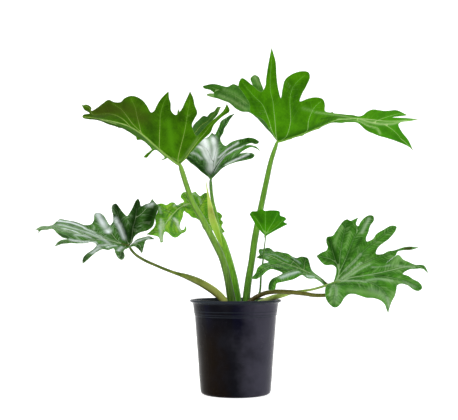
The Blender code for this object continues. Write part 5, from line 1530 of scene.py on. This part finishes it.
def wave(points, length, seed):
    """A smooth value from -1 to 1 that changes over the given length."""
    shift = Vector([seed * part for part in SEED_SHIFT])
    return np.array([noise.noise(Vector(p) / length + shift) for p in points])


def add_leaf(name):
    """The blade of a leaf, with its quilting, waves and veins."""
    look = leaf_look(name)
    points, faces, fields = blade_mesh(name, look["step"])
    faces = [tuple(face) for face in faces]
    normals = point_normals(points, faces)
    seed = look["seed"]
    nearest = np.minimum(fields["rib"], fields["vein"])
    lift = look["quilt"] * (1 - np.exp(-((nearest / QUILT_SPREAD) ** 2)))
    lift += FINE_QUILT * (1 - np.exp(-((fields["fine"] / FINE_SPREAD) ** 2)))
    lift -= MARGIN_CURL * np.exp(-((fields["edge"] / MARGIN_SPREAD) ** 2))
    ripple = wave(points, MARGIN_WAVE_LENGTH, seed) * np.exp(-fields["edge"] / MARGIN_WAVE_SPREAD)
    lift += MARGIN_WAVE * ripple
    lift += look["crumple"] * wave(points, look["crumple_length"], seed + CRUMPLE_SEED)
    lift -= CREASE_DEPTH * fields.pop("crease")
    calm = np.clip(fields["rib"] / look["calm"], 0, 1) ** 2
    points = points + normals * (lift * calm)[:, None]
    normals = point_normals(points, faces)
    ridge = ridge_of(fields["rib"], fields["rib_width"])
    ridge = np.maximum(ridge, ridge_of(fields["vein"], fields["vein_width"]))
    ridge = np.maximum(ridge, FINE_RIDGE * ridge_of(fields["fine"], fields["fine_width"]))
    ring = edge_ring(faces)
    half = np.full(len(points), BLADE_THICKNESS / 2)
    half[ring] = RIM_THICKNESS / 2
    top = points + normals * (half - TOP_GROOVE * ridge / RIB_WIDTHS[0])[:, None]
    under = points - normals * (half + ridge)[:, None]
    count = len(points)
    quads = [(a + count, b + count, b, a) for a, b in zip(ring, ring[1:] + ring[:1])]
    sides = [(c + count, b + count, a + count) for a, b, c in faces]
    fields = {field: np.tile(values, 2) for field, values in fields.items()}
    fields["under"] = np.repeat((0.0, 1.0), count)
    material = leaf_material(name, look)
    blade = mesh_object("leaf_" + name, np.vstack((top, under)), faces + sides + quads, material, fields)
    mesh = blade.data
    sharp = mesh.attributes.new("sharp_edge", "BOOLEAN", "EDGE")
    rim = set()
    for a, b in zip(ring, ring[1:] + ring[:1]):
        rim |= {(min(a, b), max(a, b)), (min(a, b) + count, max(a, b) + count)}
    sharp.data.foreach_set("value", [tuple(sorted(edge.vertices)) in rim for edge in mesh.edges])
    dress(blade, "blade_" + name)


def ridge_of(distance, width):
    """How far a vein stands out at a distance from its middle."""
    return width * np.sqrt(np.maximum(0, 1 - (distance / np.maximum(width, 0.01)) ** 2))


def leaf_look(name):
    """The leaf's own value in each row of LEAF_LOOKS."""
    place = LEAF_NAMES.index(name)
    return {quality: row[place] for quality, row in LEAF_LOOKS.items()}


def scaled(colour, share, added=0.0):
    """A colour made lighter or darker, with no part above 1."""
    return tuple(min(1.0, part * share + added) for part in colour)


class Graph:
    """Short ways to lay out a material's nodes. Its colour is built up coat by coat."""

    def __init__(self, name, colour=None):
        self.material = bpy.data.materials.new(name)
        self.material.use_nodes = True
        self.nodes = self.material.node_tree.nodes
        self.links = self.material.node_tree.links
        self.shader = self.nodes["Principled BSDF"]
        self.object_place = self.nodes.new("ShaderNodeTexCoord").outputs["Object"]
        self.colour = colour

    def set(self, socket, value):
        if isinstance(value, bpy.types.NodeSocket):
            self.links.new(value, socket)
        elif isinstance(value, tuple) and len(value) == 3 and socket.type == "RGBA":
            socket.default_value = (*value, 1)
        else:
            socket.default_value = value

    def node(self, kind, output, *values, **settings):
        """A new node's output, with its first inputs and its settings given."""
        node = self.nodes.new("ShaderNode" + kind)
        for key, setting in settings.items():
            setattr(node, key, setting)
        for socket, value in zip(node.inputs, values):
            self.set(socket, value)
        return node.outputs[output]

    def facing(self, direction):
        """How far the surface faces a direction: 1 towards it, -1 away from it."""
        normal = self.node("NewGeometry", "Normal")
        return self.node("VectorMath", "Value", normal, direction, operation="DOT_PRODUCT")

    def attribute(self, name):
        return self.node("Attribute", "Fac", attribute_name=name)

    def math(self, operation, *values):
        return self.node("Math", 0, *values, operation=operation)

    def times(self, first, *others):
        for other in others:
            first = self.math("MULTIPLY", first, other)
        return first

    def plus(self, first, *others):
        for other in others:
            first = self.math("ADD", first, other)
        return first

    def minus(self, first, second):
        return self.math("SUBTRACT", first, second)

    def ramp(self, value, low, high, to_low=0.0, to_high=1.0):
        """A smooth step between two values."""
        return self.node("MapRange", 0, value, low, high, to_low, to_high, interpolation_type="SMOOTHSTEP")

    def line(self, distance, width, share, inside):
        """1 on a vein and 0 beyond a share of its half width."""
        return self.ramp(distance, self.times(self.attribute(width), share), inside)

    def mix(self, share, first, second):
        node = self.nodes.new("ShaderNodeMix")
        node.data_type = "RGBA"
        self.set(node.inputs["Factor"], share)
        self.set(node.inputs[6], first)
        self.set(node.inputs[7], second)
        return node.outputs[2]

    def coat(self, share, colour):
        """Lays a colour over the one so far."""
        self.colour = self.mix(share, self.colour, colour)

    def noise(self, scale, detail=3.0, roughness=0.5, place=None):
        node = self.nodes.new("ShaderNodeTexNoise")
        self.set(node.inputs["Vector"], place or self.object_place)
        node.inputs["Scale"].default_value = scale
        node.inputs["Detail"].default_value = detail
        node.inputs["Roughness"].default_value = roughness
        return node.outputs["Fac"]

    def streaks(self, scales, detail, roughness):
        """Noise drawn out along an axis."""
        place = self.node("Mapping", "Vector", self.object_place)
        place.node.inputs["Scale"].default_value = scales
        return self.noise(1.0, detail, roughness, place)

    def cells(self, scale, feature="F1"):
        node = self.nodes.new("ShaderNodeTexVoronoi")
        node.feature = feature
        self.set(node.inputs["Vector"], self.object_place)
        node.inputs["Scale"].default_value = scale
        return node.outputs["Distance"]

    def axis(self, name):
        """The place along one axis of the object, in metres."""
        return self.node("SeparateXYZ", name, self.object_place)

    def finish(self, roughness, height=None, distance=0.0, strength=1.0, **fixed):
        """The material, with a bump of the given height."""
        self.set(self.shader.inputs["Base Color"], self.colour)
        self.set(self.shader.inputs["Roughness"], roughness)
        if height is not None:
            bump = self.nodes.new("ShaderNodeBump")
            bump.inputs["Distance"].default_value = distance
            bump.inputs["Strength"].default_value = strength
            self.links.new(height, bump.inputs["Height"])
            self.links.new(bump.outputs["Normal"], self.shader.inputs["Normal"])
        for name, value in fixed.items():
            self.shader.inputs[name.replace("_", " ")].default_value = value
        return self.material


def leaf_material(name, look):
    """Leaf skin: mottled green, paler below with partly painted light shining through, with pale veins, a
    fine net between them and a thin edge, and painted highlights, sheen, reflections and shade.
    """
    g = Graph("leaf_" + name)
    under = g.attribute("under")
    mottle = g.ramp(g.noise(*MOTTLE_NOISE), *MOTTLE_RAMP)
    spots = g.ramp(g.noise(*SPOT_NOISE), *SPOT_RAMP)
    top = g.mix(mottle, look["top_low"], look["top_high"])
    # The under side is paler, partly with painted light shining through the blade
    below = g.mix(mottle, look["under_low"], look["under_high"])
    g.colour = g.mix(under, top, below)
    g.coat(g.times(g.ramp(g.attribute("along"), *TIP_RAMP), TIP_SHARE), look["tip"])
    light = scaled(look["under_high"], PALE_SHARE)
    g.coat(g.times(spots, SPOT_SHARE), light)

    # The blade is paler beside the veins
    edge, rib, vein, fine, side, run = map(g.attribute, ("edge", "rib", "vein", "fine", "side", "run"))
    g.coat(g.ramp(vein, *BESIDE_VEIN), light)
    g.coat(g.ramp(rib, *BESIDE_RIB), light)

    # A net of the finest veins
    net = g.ramp(g.cells(NET_SCALE, "DISTANCE_TO_EDGE"), *NET_RAMP)
    g.coat(g.times(net, NET_SHARE), light)

    # Drawn marks: light ones are painted highlights and lighter green, dark ones painted shade in folds,
    # gaps and turned lobes and darker green
    g.coat(g.attribute("light"), look["light"])
    dark = g.attribute("dark")
    g.coat(dark, look["dark"])

    # Side veins lean off the main ones, with painted shade in the furrow between each two
    warp = g.times(g.minus(g.noise(*WARP_NOISE), 0.5), WARP_REACH)
    slope = g.minus(run, g.times(side, LATERAL_LEAN))
    phase = g.math("FRACT", g.math("DIVIDE", g.plus(slope, warp), LATERAL_SPACING))
    crest = g.times(g.math("ABSOLUTE", g.minus(phase, 0.5)), 2.0)
    shown = g.times(g.attribute("whole"), g.ramp(side, *LATERAL_FADE), g.minus(1.0, dark))
    g.coat(g.times(g.ramp(crest, *FURROW_SHADE_RAMP), shown, look["lateral"]), look["dark"])
    g.coat(g.times(g.ramp(crest, *CREST_RAMP), shown, look["lateral"]), look["light"])

    # Painted highlights (gleams) run along the side veins, and painted shade darkens the upper side where it
    # dips to a main vein
    across, along = g.math("DIVIDE", slope, GLEAM_WIDTH), g.math("DIVIDE", side, GLEAM_LENGTH)
    gleam = g.ramp(g.noise(*GLEAM_NOISE, g.node("CombineXYZ", 0, across, along)), *GLEAM_RAMP)
    g.coat(g.times(gleam, g.times(shown, look["streak"])), look["light"])
    g.coat(g.times(g.ramp(side, *DIP_SHADE_RAMP), g.minus(1.0, under)), look["dark"])

    # Pale marks of painted sheen and reflections and some pale vein bands, then veins, which fade where the
    # dark marks lie and towards their tips, then dry spots and the thin edge
    fine_line = g.line(fine, "fine_width", *FINE_LINE)
    vein_line = g.line(vein, "vein_width", *VEIN_LINE)
    rib_line = g.line(rib, "rib_width", *RIB_LINE)
    seen = g.times(g.minus(VEIN_SHOWN, g.times(dark, VEIN_LOST_IN_DARK)), g.ramp(run, *VEIN_FADE))
    g.coat(g.attribute("pale"), look["pale"])
    g.coat(g.times(fine_line, look["fine"]), look["vein"])
    g.coat(g.times(vein_line, seen), look["vein"])
    g.coat(g.times(rib_line, RIB_SHOWN), look["vein"])
    g.coat(g.attribute("brown"), BROWN)
    g.coat(g.ramp(edge, *EDGE_RAMP), look["edge"])

    patches = g.times(g.noise(*ROUGH_NOISE), ROUGH_SHARE)
    rough = g.plus(patches, look["gloss"] - ROUGH_LESS, g.times(under, ROUGH_UNDER))
    height = g.plus(
        g.times(g.noise(*GRAIN_NOISE), GRAIN_SHARE),
        g.times(g.noise(*WRINKLE_NOISE), look["wrinkle"]),
        g.times(crest, shown, CREST_HEIGHT * look["lateral"]),
        g.times(net, NET_HEIGHT),
        g.times(fine_line, FINE_HEIGHT),
    )
    return g.finish(rough, height, LEAF_BUMP, LEAF_BUMP_SHARE, Specular_IOR_Level=look["specular"])


def stalk_material(name):
    """Stalk skin: streaked lengthwise, changing colour from foot to leaf, with pale pores and painted shade
    on its two sides.
    """
    foot, middle, head = STALK_LOOKS[name]
    g = Graph("stalk_" + name, foot)
    along = g.attribute("along")
    g.coat(g.ramp(along, *STALK_MIDDLE), middle)
    g.coat(g.ramp(along, *STALK_HEAD), head)
    streak = g.streaks(*STALK_STREAKS)
    g.coat(g.ramp(streak, *STALK_PALE_STREAK), scaled(middle, 1.9, 0.03))
    g.coat(g.ramp(streak, *STALK_DARK_STREAK), scaled(middle, 0.45))
    pores = g.ramp(g.cells(PORE_SCALE), *PORE_RAMP)
    g.coat(g.times(pores, PORE_SHARE), PORE_COLOUR)
    mottle = g.noise(*STALK_MOTTLE)
    g.coat(g.ramp(mottle, *STALK_MOTTLE_RAMP), scaled(foot, 0.6))

    # Painted shade darkens the skin on its two sides, facing left and right, more than in front and behind
    for direction, depth in STALK_PAINTED_SHADES:
        g.coat(g.ramp(g.facing(direction), *STALK_PAINTED_SHADE_RAMP, depth), scaled(middle, 0.3))
    rough = g.plus(g.times(mottle, STALK_ROUGH_SHARE), STALK_ROUGH)
    height = g.plus(streak, g.times(pores, PORE_HEIGHT))
    return g.finish(rough, height, STALK_BUMP, STALK_BUMP_SHARE, Specular_IOR_Level=STALK_SPECULAR)


def frames_along(path):
    """Two directions square to the path at each point, with as little turn between them as possible."""
    ways = np.gradient(path, axis=0)
    ways /= np.linalg.norm(ways, axis=1, keepdims=True)
    side = np.cross(ways[0], (0.0, -1.0, 0.2))
    found = []
    for way in ways:
        side = side - way * (side @ way)
        side /= np.linalg.norm(side)
        found.append((side, np.cross(way, side)))
    return found


def tube_faces(rows, sides, start=0):
    """Quads between rings of points."""
    faces = []
    for i in range(rows - 1):
        for k in range(sides):
            a = start + i * sides + k
            b = start + i * sides + (k + 1) % sides
            faces.append((a, b, b + sides, a + sides))
    return faces


def caps(rows, sides):
    """The faces that close a tube's first and last rings."""
    return [tuple(range(sides))[::-1], tuple(range((rows - 1) * sides, rows * sides))]


def turned(profile, sides):
    """The rings of points of a profile, given as (radius, height), turned about the upright axis."""
    turns = [math.tau * k / sides for k in range(sides)]
    return [(r * math.cos(turn), r * math.sin(turn), z) for r, z in profile for turn in turns]


def rounded(profile, step):
    """A smooth way through the points of a profile."""
    return smooth([(*point, 0.0) for point in profile], step)[:, :2]


def swept(path, radii, section, sides=STALK_SIDES):
    """Points and faces of a closed tube. The section gives a share of the radius at an angle and place."""
    turns = np.arange(sides) * math.tau / sides
    points = []
    for i, ((side, lift), centre, radius) in enumerate(zip(frames_along(path), path, radii)):
        for turn in turns:
            reach = radius * section(turn, i / (len(path) - 1))
            points.append(centre + reach * (math.cos(turn) * side + math.sin(turn) * lift))
    return np.array(points), tube_faces(len(path), sides) + caps(len(path), sides)


def add_object(name, data):
    obj = bpy.data.objects.new(name, data)
    bpy.context.scene.collection.objects.link(obj)
    return obj


def mesh_object(name, points, faces, material, fields=None):
    """A piece from points in millimetres, with a value of each field at each point."""
    mesh = bpy.data.meshes.new(name)
    mesh.from_pydata([Vector(p) * MM for p in points], [], faces)
    mesh.shade_smooth()
    for field, values in (fields or {}).items():
        attribute = mesh.attributes.new(field, "FLOAT", "POINT")
        attribute.data.foreach_set("value", np.asarray(values, np.float32))
    mesh.materials.append(material)
    return add_object(name, mesh)


def dress(obj, node):
    """A piece that stands for a node of the CAD."""
    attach(obj, "root")
    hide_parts(node)


def add_stalk(name):
    """A leaf's stalk, from its hole in the crown into the underside of the midrib."""
    route = [np.append(place(*point[:3]), point[3]) for point in read_off(STALKS[name])]
    rib = smooth(placed(drawn_rib(name)), RIB_STEP)
    joint = rib[0]
    end_radius = max(route[-1][3] * STALK_END_SHARE, RIB_WIDTHS[0] + STALK_END_MORE)
    route.append(np.append(joint - (joint - route[-1][:3]) * STALK_END_SHORT, end_radius))
    if name in RIDGES:
        share, thick, thin = RIDGES[name]
        down = -basis(FACINGS[name])[2]
        for part in np.linspace(0, 1, RIDGE_POINTS):
            k = round(2 + part * (share * (len(rib) - 1) - 2))
            radius = thick + (thin - thick) * part
            route.append(np.append(rib[k] + down * radius * RIDGE_SINK, radius))
    else:
        radius = RIB_WIDTHS[0] * (SMALL_RIB if name == "small" else 1.0)
        route.append(np.append(rib[2], radius * 1.1))
        route.append(np.append(rib[min(len(rib) - 1, 6)], radius * 0.5))
    path = smooth(route, STALK_STEP)
    lumps = wave(path[:, :3], STALK_LUMP_LENGTH, leaf_look(name)["seed"] + STALK_SEED)

    def section(turn, along):
        ribs = sum(height * math.cos(count * turn + shift) for height, count, shift in STALK_RIBS)
        depth, middle, width = STALK_CHANNEL
        return 1 + ribs - depth * math.exp(-(((turn - middle) / width) ** 2)) * along

    points, faces = swept(path[:, :3], path[:, 3] * (1 + STALK_LUMPS * lumps), section)
    along = np.repeat(np.linspace(0, 1, len(path)), STALK_SIDES)
    stalk = mesh_object("stalk_" + name, points, faces, stalk_material(name), {"along": along})
    dress(stalk, "petiole_" + name)


def pot_material():
    """Black plastic, bluish towards the top, browner low on the left and rougher in dusty patches, with a
    painted lighter bluish reflection on the right and painted highlights on the lip and round the collar.
    """
    g = Graph("pot_plastic")
    up = g.axis("Z")
    patch = g.noise(*POT_PATCHES)
    across = g.plus(g.axis("X"), g.times(patch, POT_PATCH_REACH))
    low = g.ramp(up, *POT_TO_FOOT)
    washes = g.ramp(g.streaks(*POT_WASHES), *POT_WASH_RAMP)
    g.colour = g.mix(g.ramp(patch, *POT_PATCH_RAMP), POT_BLACK, POT_GREY)
    g.coat(g.times(washes, g.minus(1.0, low)), POT_BLUE)
    # Painted reflection: lighter and bluish on the right
    g.coat(g.ramp(across, *POT_TO_RIGHT_SHEEN), POT_RIGHT_SHEEN)
    g.coat(g.times(g.ramp(across, *POT_TO_LEFT), low), POT_BROWN)
    # Painted highlights on the lip and on lines round the collar
    g.coat(g.ramp(up, *POT_TO_RIM_SHEEN), POT_RIM_SHEEN)
    for level in POT_SHEEN_LINES:
        away = g.math("ABSOLUTE", g.minus(up, level))
        g.coat(g.ramp(away, *POT_SHEEN_LINE_RAMP), POT_RIM_SHEEN)
    scuffs = g.ramp(g.streaks(*POT_SCUFFS), *POT_SCUFF_RAMP)
    g.coat(g.times(scuffs, POT_SCUFF_SHARE), POT_SCUFF)
    dust = g.ramp(g.noise(*POT_DUST), *POT_DUST_RAMP)
    rings = g.streaks(*POT_RINGS)
    rough = g.plus(POT_ROUGH, g.times(dust, POT_ROUGH_DUST), g.times(rings, POT_ROUGH_RINGS))
    height = g.plus(g.times(g.noise(*POT_GRAIN), POT_GRAIN_SHARE), rings)
    return g.finish(rough, height, POT_BUMP, POT_BUMP_SHARE, Specular_IOR_Level=POT_SPECULAR)


def soil_material():
    """Dark, damp potting mix with paler clumps."""
    g = Graph("potting_soil", SOIL_DARK)
    grit = g.noise(260, 6, 0.7)
    g.coat(g.ramp(grit, 0.3, 0.7), SOIL_BROWN)
    g.coat(g.ramp(g.noise(60, 4, 0.6), 0.45, 0.75, 0.0, 0.5), SOIL_CLUMPS)
    return g.finish(SOIL_ROUGH, grit, SOIL_BUMP)


def chip_material():
    g = Graph("bark_chips", CHIP_DARK)
    g.coat(g.ramp(g.noise(24, 3, 0.6), 0.3, 0.7), CHIP_BROWN)
    return g.finish(CHIP_ROUGH, g.noise(500, 4, 0.7), CHIP_BUMP)


def grain_material():
    g = Graph("pale_grains", GRAIN_GREY)
    g.coat(g.noise(300, 2), GRAIN_PALE)
    return g.finish(GRAIN_ROUGH)


def bark_material():
    """The brown skin of the crown, greenish in places."""
    g = Graph("crown_bark", BARK_DARK)
    rings = g.streaks((60, 60, 190), 5, 0.65)
    g.coat(g.ramp(rings, 0.3, 0.7), BARK_PALE)
    g.coat(g.ramp(g.noise(45, 4, 0.6), 0.5, 0.75, 0.0, 0.6), BARK_GREEN)
    return g.finish(BARK_ROUGH, rings, BARK_BUMP)


def sheath_material():
    """Pale green skin, olive in the middle and dry at the tip."""
    g = Graph("sheath_skin", SHEATH_FOOT)
    along = g.attribute("along")
    g.coat(g.ramp(along, 0.1, 0.62), SHEATH_HEAD)
    g.coat(g.ramp(along, 0.8, 0.95), SHEATH_TIP)
    belly = g.times(g.ramp(along, 0.3, 0.42), g.ramp(along, 0.62, 0.5))
    g.coat(g.times(belly, g.ramp(g.noise(30, 3, 0.6), 0.3, 0.7, 0.3, 0.95)), SHEATH_BELLY)
    streak = g.streaks((300, 300, 16), 4, 0.65)
    g.coat(g.ramp(streak, 0.5, 0.8, 0.0, 0.5), SHEATH_STREAKS)
    return g.finish(SHEATH_ROUGH, streak, SHEATH_BUMP, STALK_BUMP_SHARE, Specular_IOR_Level=STALK_SPECULAR)


def pot_mesh(profile):
    """Points and quads of a closed profile turned about the upright axis."""
    count = len(profile)
    rings = np.array(turned(profile, POT_SIDES)).reshape(count, POT_SIDES, 3)
    faces = []
    for k in range(POT_SIDES):
        near, far = k * count, (k + 1) % POT_SIDES * count
        for i in range(count):
            j = (i + 1) % count
            faces.append((near + i, far + i, far + j, near + j))
    return rings.transpose(1, 0, 2).reshape(-1, 3), faces


def add_pot():
    """The pot with its collar, rolled lip, stacking ring, foot and drain holes."""
    walls = [point for profile, step in POT_WALLS for point in rounded(profile, step)]
    points, faces = pot_mesh([(POT_CENTRE, POT_BASE_RISE), *walls, (POT_CENTRE, POT_FLOOR)])
    pot = mesh_object("pot_shell", points, faces, pot_material())
    cutters = []
    for x, y, z in turned([(DRAIN_RING, POT_FLOOR / 2)], DRAIN_HOLES):
        bpy.ops.mesh.primitive_cylinder_add(
            vertices=DRAIN_SIDES,
            radius=DRAIN_RADIUS * MM,
            depth=5 * POT_FLOOR * MM,
            location=(x * MM, y * MM, z * MM),
        )
        cutters.append(bpy.context.object)
    for cutter in cutters:
        boolean = pot.modifiers.new("Hole", "BOOLEAN")
        boolean.object = cutter
        boolean.solver = "EXACT"
    bpy.context.view_layer.update()
    graph = bpy.context.evaluated_depsgraph_get()
    mesh = bpy.data.meshes.new_from_object(pot.evaluated_get(graph))
    pot.modifiers.clear()
    pot.data = mesh
    for cutter in cutters:
        bpy.data.objects.remove(cutter)
    dress(pot, "pot")


def add_soil():
    """Loose potting mix: a rough bed with crumbs, bark chips and a few pale grains on it."""
    rings = [(SOIL_RADIUS * ring / SOIL_RINGS, SOIL_TOP) for ring in range(1, SOIL_RINGS + 1)]
    points = np.array([(0.0, 0.0, SOIL_MIDDLE), *turned(rings, SOIL_SIDES)])
    rough = sum(wave(points, length, seed) * height for length, seed, height in SOIL_WAVES)
    out = np.linalg.norm(points[:, :2], axis=1)
    mound = SOIL_MOUND * np.exp(-((out / SOIL_MOUND_SPREAD) ** 2))
    points[:, 2] += np.minimum(rough, SOIL_WAVE_TOP) + mound
    foot = points[-SOIL_SIDES:] * (SOIL_FOOT_SHARE, SOIL_FOOT_SHARE, 0.0) + (0, 0, SOIL_FOOT)
    faces = [(0, 1 + k, 1 + (k + 1) % SOIL_SIDES) for k in range(SOIL_SIDES)]
    faces += [(a, d, c, b) for a, b, c, d in tube_faces(SOIL_RINGS + 1, SOIL_SIDES, 1)]
    faces.append(tuple(range(len(points), len(points) + SOIL_SIDES))[::-1])
    dress(mesh_object("soil_bed", np.vstack((points, foot)), faces, soil_material()), "soil")

    # Crumbs rest on the bed
    rng = random.Random(SOIL_SEED)
    for title, material, (count, low, high) in (
        ("soil_chips", chip_material(), SOIL_CHIPS),
        ("soil_grains", grain_material(), SOIL_GRAINS),
    ):
        found = []
        shapes = []
        for _ in range(count):
            radius = math.sqrt(rng.random()) * (SOIL_RADIUS - SOIL_MARGIN)
            turn = rng.random() * math.tau
            ring = min(SOIL_RINGS - 1, int(radius / SOIL_RADIUS * SOIL_RINGS))
            ground = points[1 + ring * SOIL_SIDES + int(turn / math.tau * SOIL_SIDES)][2]
            size = rng.uniform(low, high)
            spot = (radius * math.cos(turn), radius * math.sin(turn), ground + size * CRUMB_LIFT)
            shapes += [tuple(i + len(found) for i in face) for face in CRUMB_FACES]
            found.extend(crumb(rng, size) + spot)
        crumbs = mesh_object(title, np.array(found), shapes, material)
        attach(crumbs, "root")


def crumb(rng, size):
    """The corners of a small broken lump."""
    corners = np.array(CRUMB_CORNERS, float)
    corners *= [[rng.uniform(*CRUMB_STRAY)] for _ in corners]
    corners *= [rng.uniform(*ends) for ends in CRUMB_SQUASH]
    turn = rng.uniform(0, math.tau)
    tilt = rng.uniform(-CRUMB_TILT, CRUMB_TILT)
    c, s = math.cos(turn), math.sin(turn)
    corners = corners @ np.array(((c, s, 0), (-s, c, 0), (0, 0, 1)))
    c, s = math.cos(tilt), math.sin(tilt)
    corners = corners @ np.array(((1, 0, 0), (0, c, s), (0, -s, c)))
    return corners * size


def add_crown():
    """The short thick stem: ringed with the scars of old leaves, lumpy where stalks leave it."""
    outline = rounded(CROWN_OUTSIDE, CROWN_STEP)
    points = np.array(turned(outline, CROWN_SIDES))
    out = np.linalg.norm(points[:, :2], axis=1, keepdims=True)
    turn = np.arctan2(points[:, 1], points[:, 0])
    scars = np.sin(points[:, 2] * CROWN_SCARS + CROWN_SCAR_WANDER * np.sin(turn * 2 + 1.0))
    length, seed, height = CROWN_LUMPS
    lumps = wave(points, length, seed) * height - CROWN_LUMP_SINK + CROWN_SCAR_HEIGHT * scars
    away = points[:, :2] / np.maximum(out, 1e-6)
    points[:, :2] += away * (lumps * np.clip(out[:, 0] / CROWN_LUMP_FADE, 0, 1))[:, None]
    length, seed, height = CROWN_TOP_WAVES
    points[:, 2] += wave(points, length, seed) * height * (out[:, 0] < CROWN_TOP_RADIUS)
    faces = tube_faces(len(outline), CROWN_SIDES) + caps(len(outline), CROWN_SIDES)
    dress(mesh_object("crown_stem", points, faces, bark_material()), "crown")


def add_sheath():
    """The pale sheath of the next leaf, pointed, with a dry thread at its tip."""
    path = smooth([np.append(place(*point[:3]), point[3]) for point in read_off(SHEATH)], SHEATH_STEP)

    def section(turn, along):
        depth, middle, width = SHEATH_FOLD
        fold = depth * math.exp(-(((turn - middle) / width) ** 2)) * (1 - along)
        height, count = SHEATH_RIBS
        return 1 - fold + height * math.cos(count * turn)

    points, faces = swept(path[:, :3], path[:, 3], section, SHEATH_SIDES)
    along = np.repeat(np.linspace(0, 1, len(path)), SHEATH_SIDES)
    dress(mesh_object("sheath_cone", points, faces, sheath_material(), {"along": along}), "sheath")


def add_stage():
    """A plain pale floor that curves up all round the plant, with a little light of its own."""
    g = Graph("pale_floor", STAGE_FRONT)
    back = g.axis("Y")
    g.set(g.shader.inputs["Emission Strength"], g.ramp(back, *STAGE_GLOW_ROOM, *STAGE_GLOW))
    g.coat(g.ramp(back, *STAGE_GLOW_ROOM), STAGE_BACK)
    material = g.finish(STAGE_ROUGH, Emission_Color=(1, 1, 1, 1))
    profile = [(r, 0.0) for r in STAGE_RINGS]
    for turn in np.linspace(0.0, math.pi / 2, STAGE_BEND_RINGS):
        profile.append((STAGE_FLAT + STAGE_BEND * math.sin(turn), STAGE_BEND * (1 - math.cos(turn))))
    profile.append((STAGE_FLAT + STAGE_BEND, STAGE_TOP))
    faces = tube_faces(len(profile), STAGE_SIDES) + caps(len(profile), STAGE_SIDES)[:1]
    points = np.array(turned(profile, STAGE_SIDES)) / MM
    mesh_object("floor", points, [face[::-1] for face in faces], material)


def add_lights():
    for name, power, size, spot, aim in LIGHTS:
        data = bpy.data.lights.new(name, "AREA")
        data.energy = power
        data.shape = "RECTANGLE"
        data.size, data.size_y = size
        light = add_object(name, data)
        light.location = spot
        light.rotation_euler = (Vector(aim) - Vector(spot)).to_track_quat("-Z", "Y").to_euler()
    world = bpy.data.worlds.new("studio")
    world.use_nodes = True
    background = world.node_tree.nodes["Background"]
    background.inputs["Color"].default_value = (1, 1, 1, 1)
    background.inputs["Strength"].default_value = WORLD_LIGHT
    bpy.context.scene.world = world
    bpy.context.scene.view_settings.view_transform = "Standard"


def add_camera():
    data = bpy.data.cameras.new("camera")
    data.sensor_width = SENSOR
    data.lens = LENS
    data.sensor_fit = "HORIZONTAL"
    camera = add_object("camera", data)
    camera.location = Vector(EYE) * MM
    camera.rotation_euler = (math.radians(90 + LOOK_UP), 0, 0)
    bpy.context.scene.camera = camera


def main():
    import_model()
    for name in LEAF_NAMES:
        add_leaf(name)
        add_stalk(name)
    add_pot()
    add_soil()
    add_crown()
    add_sheath()
    add_stage()
    add_lights()
    add_camera()
    bpy.context.view_layer.update()


main()
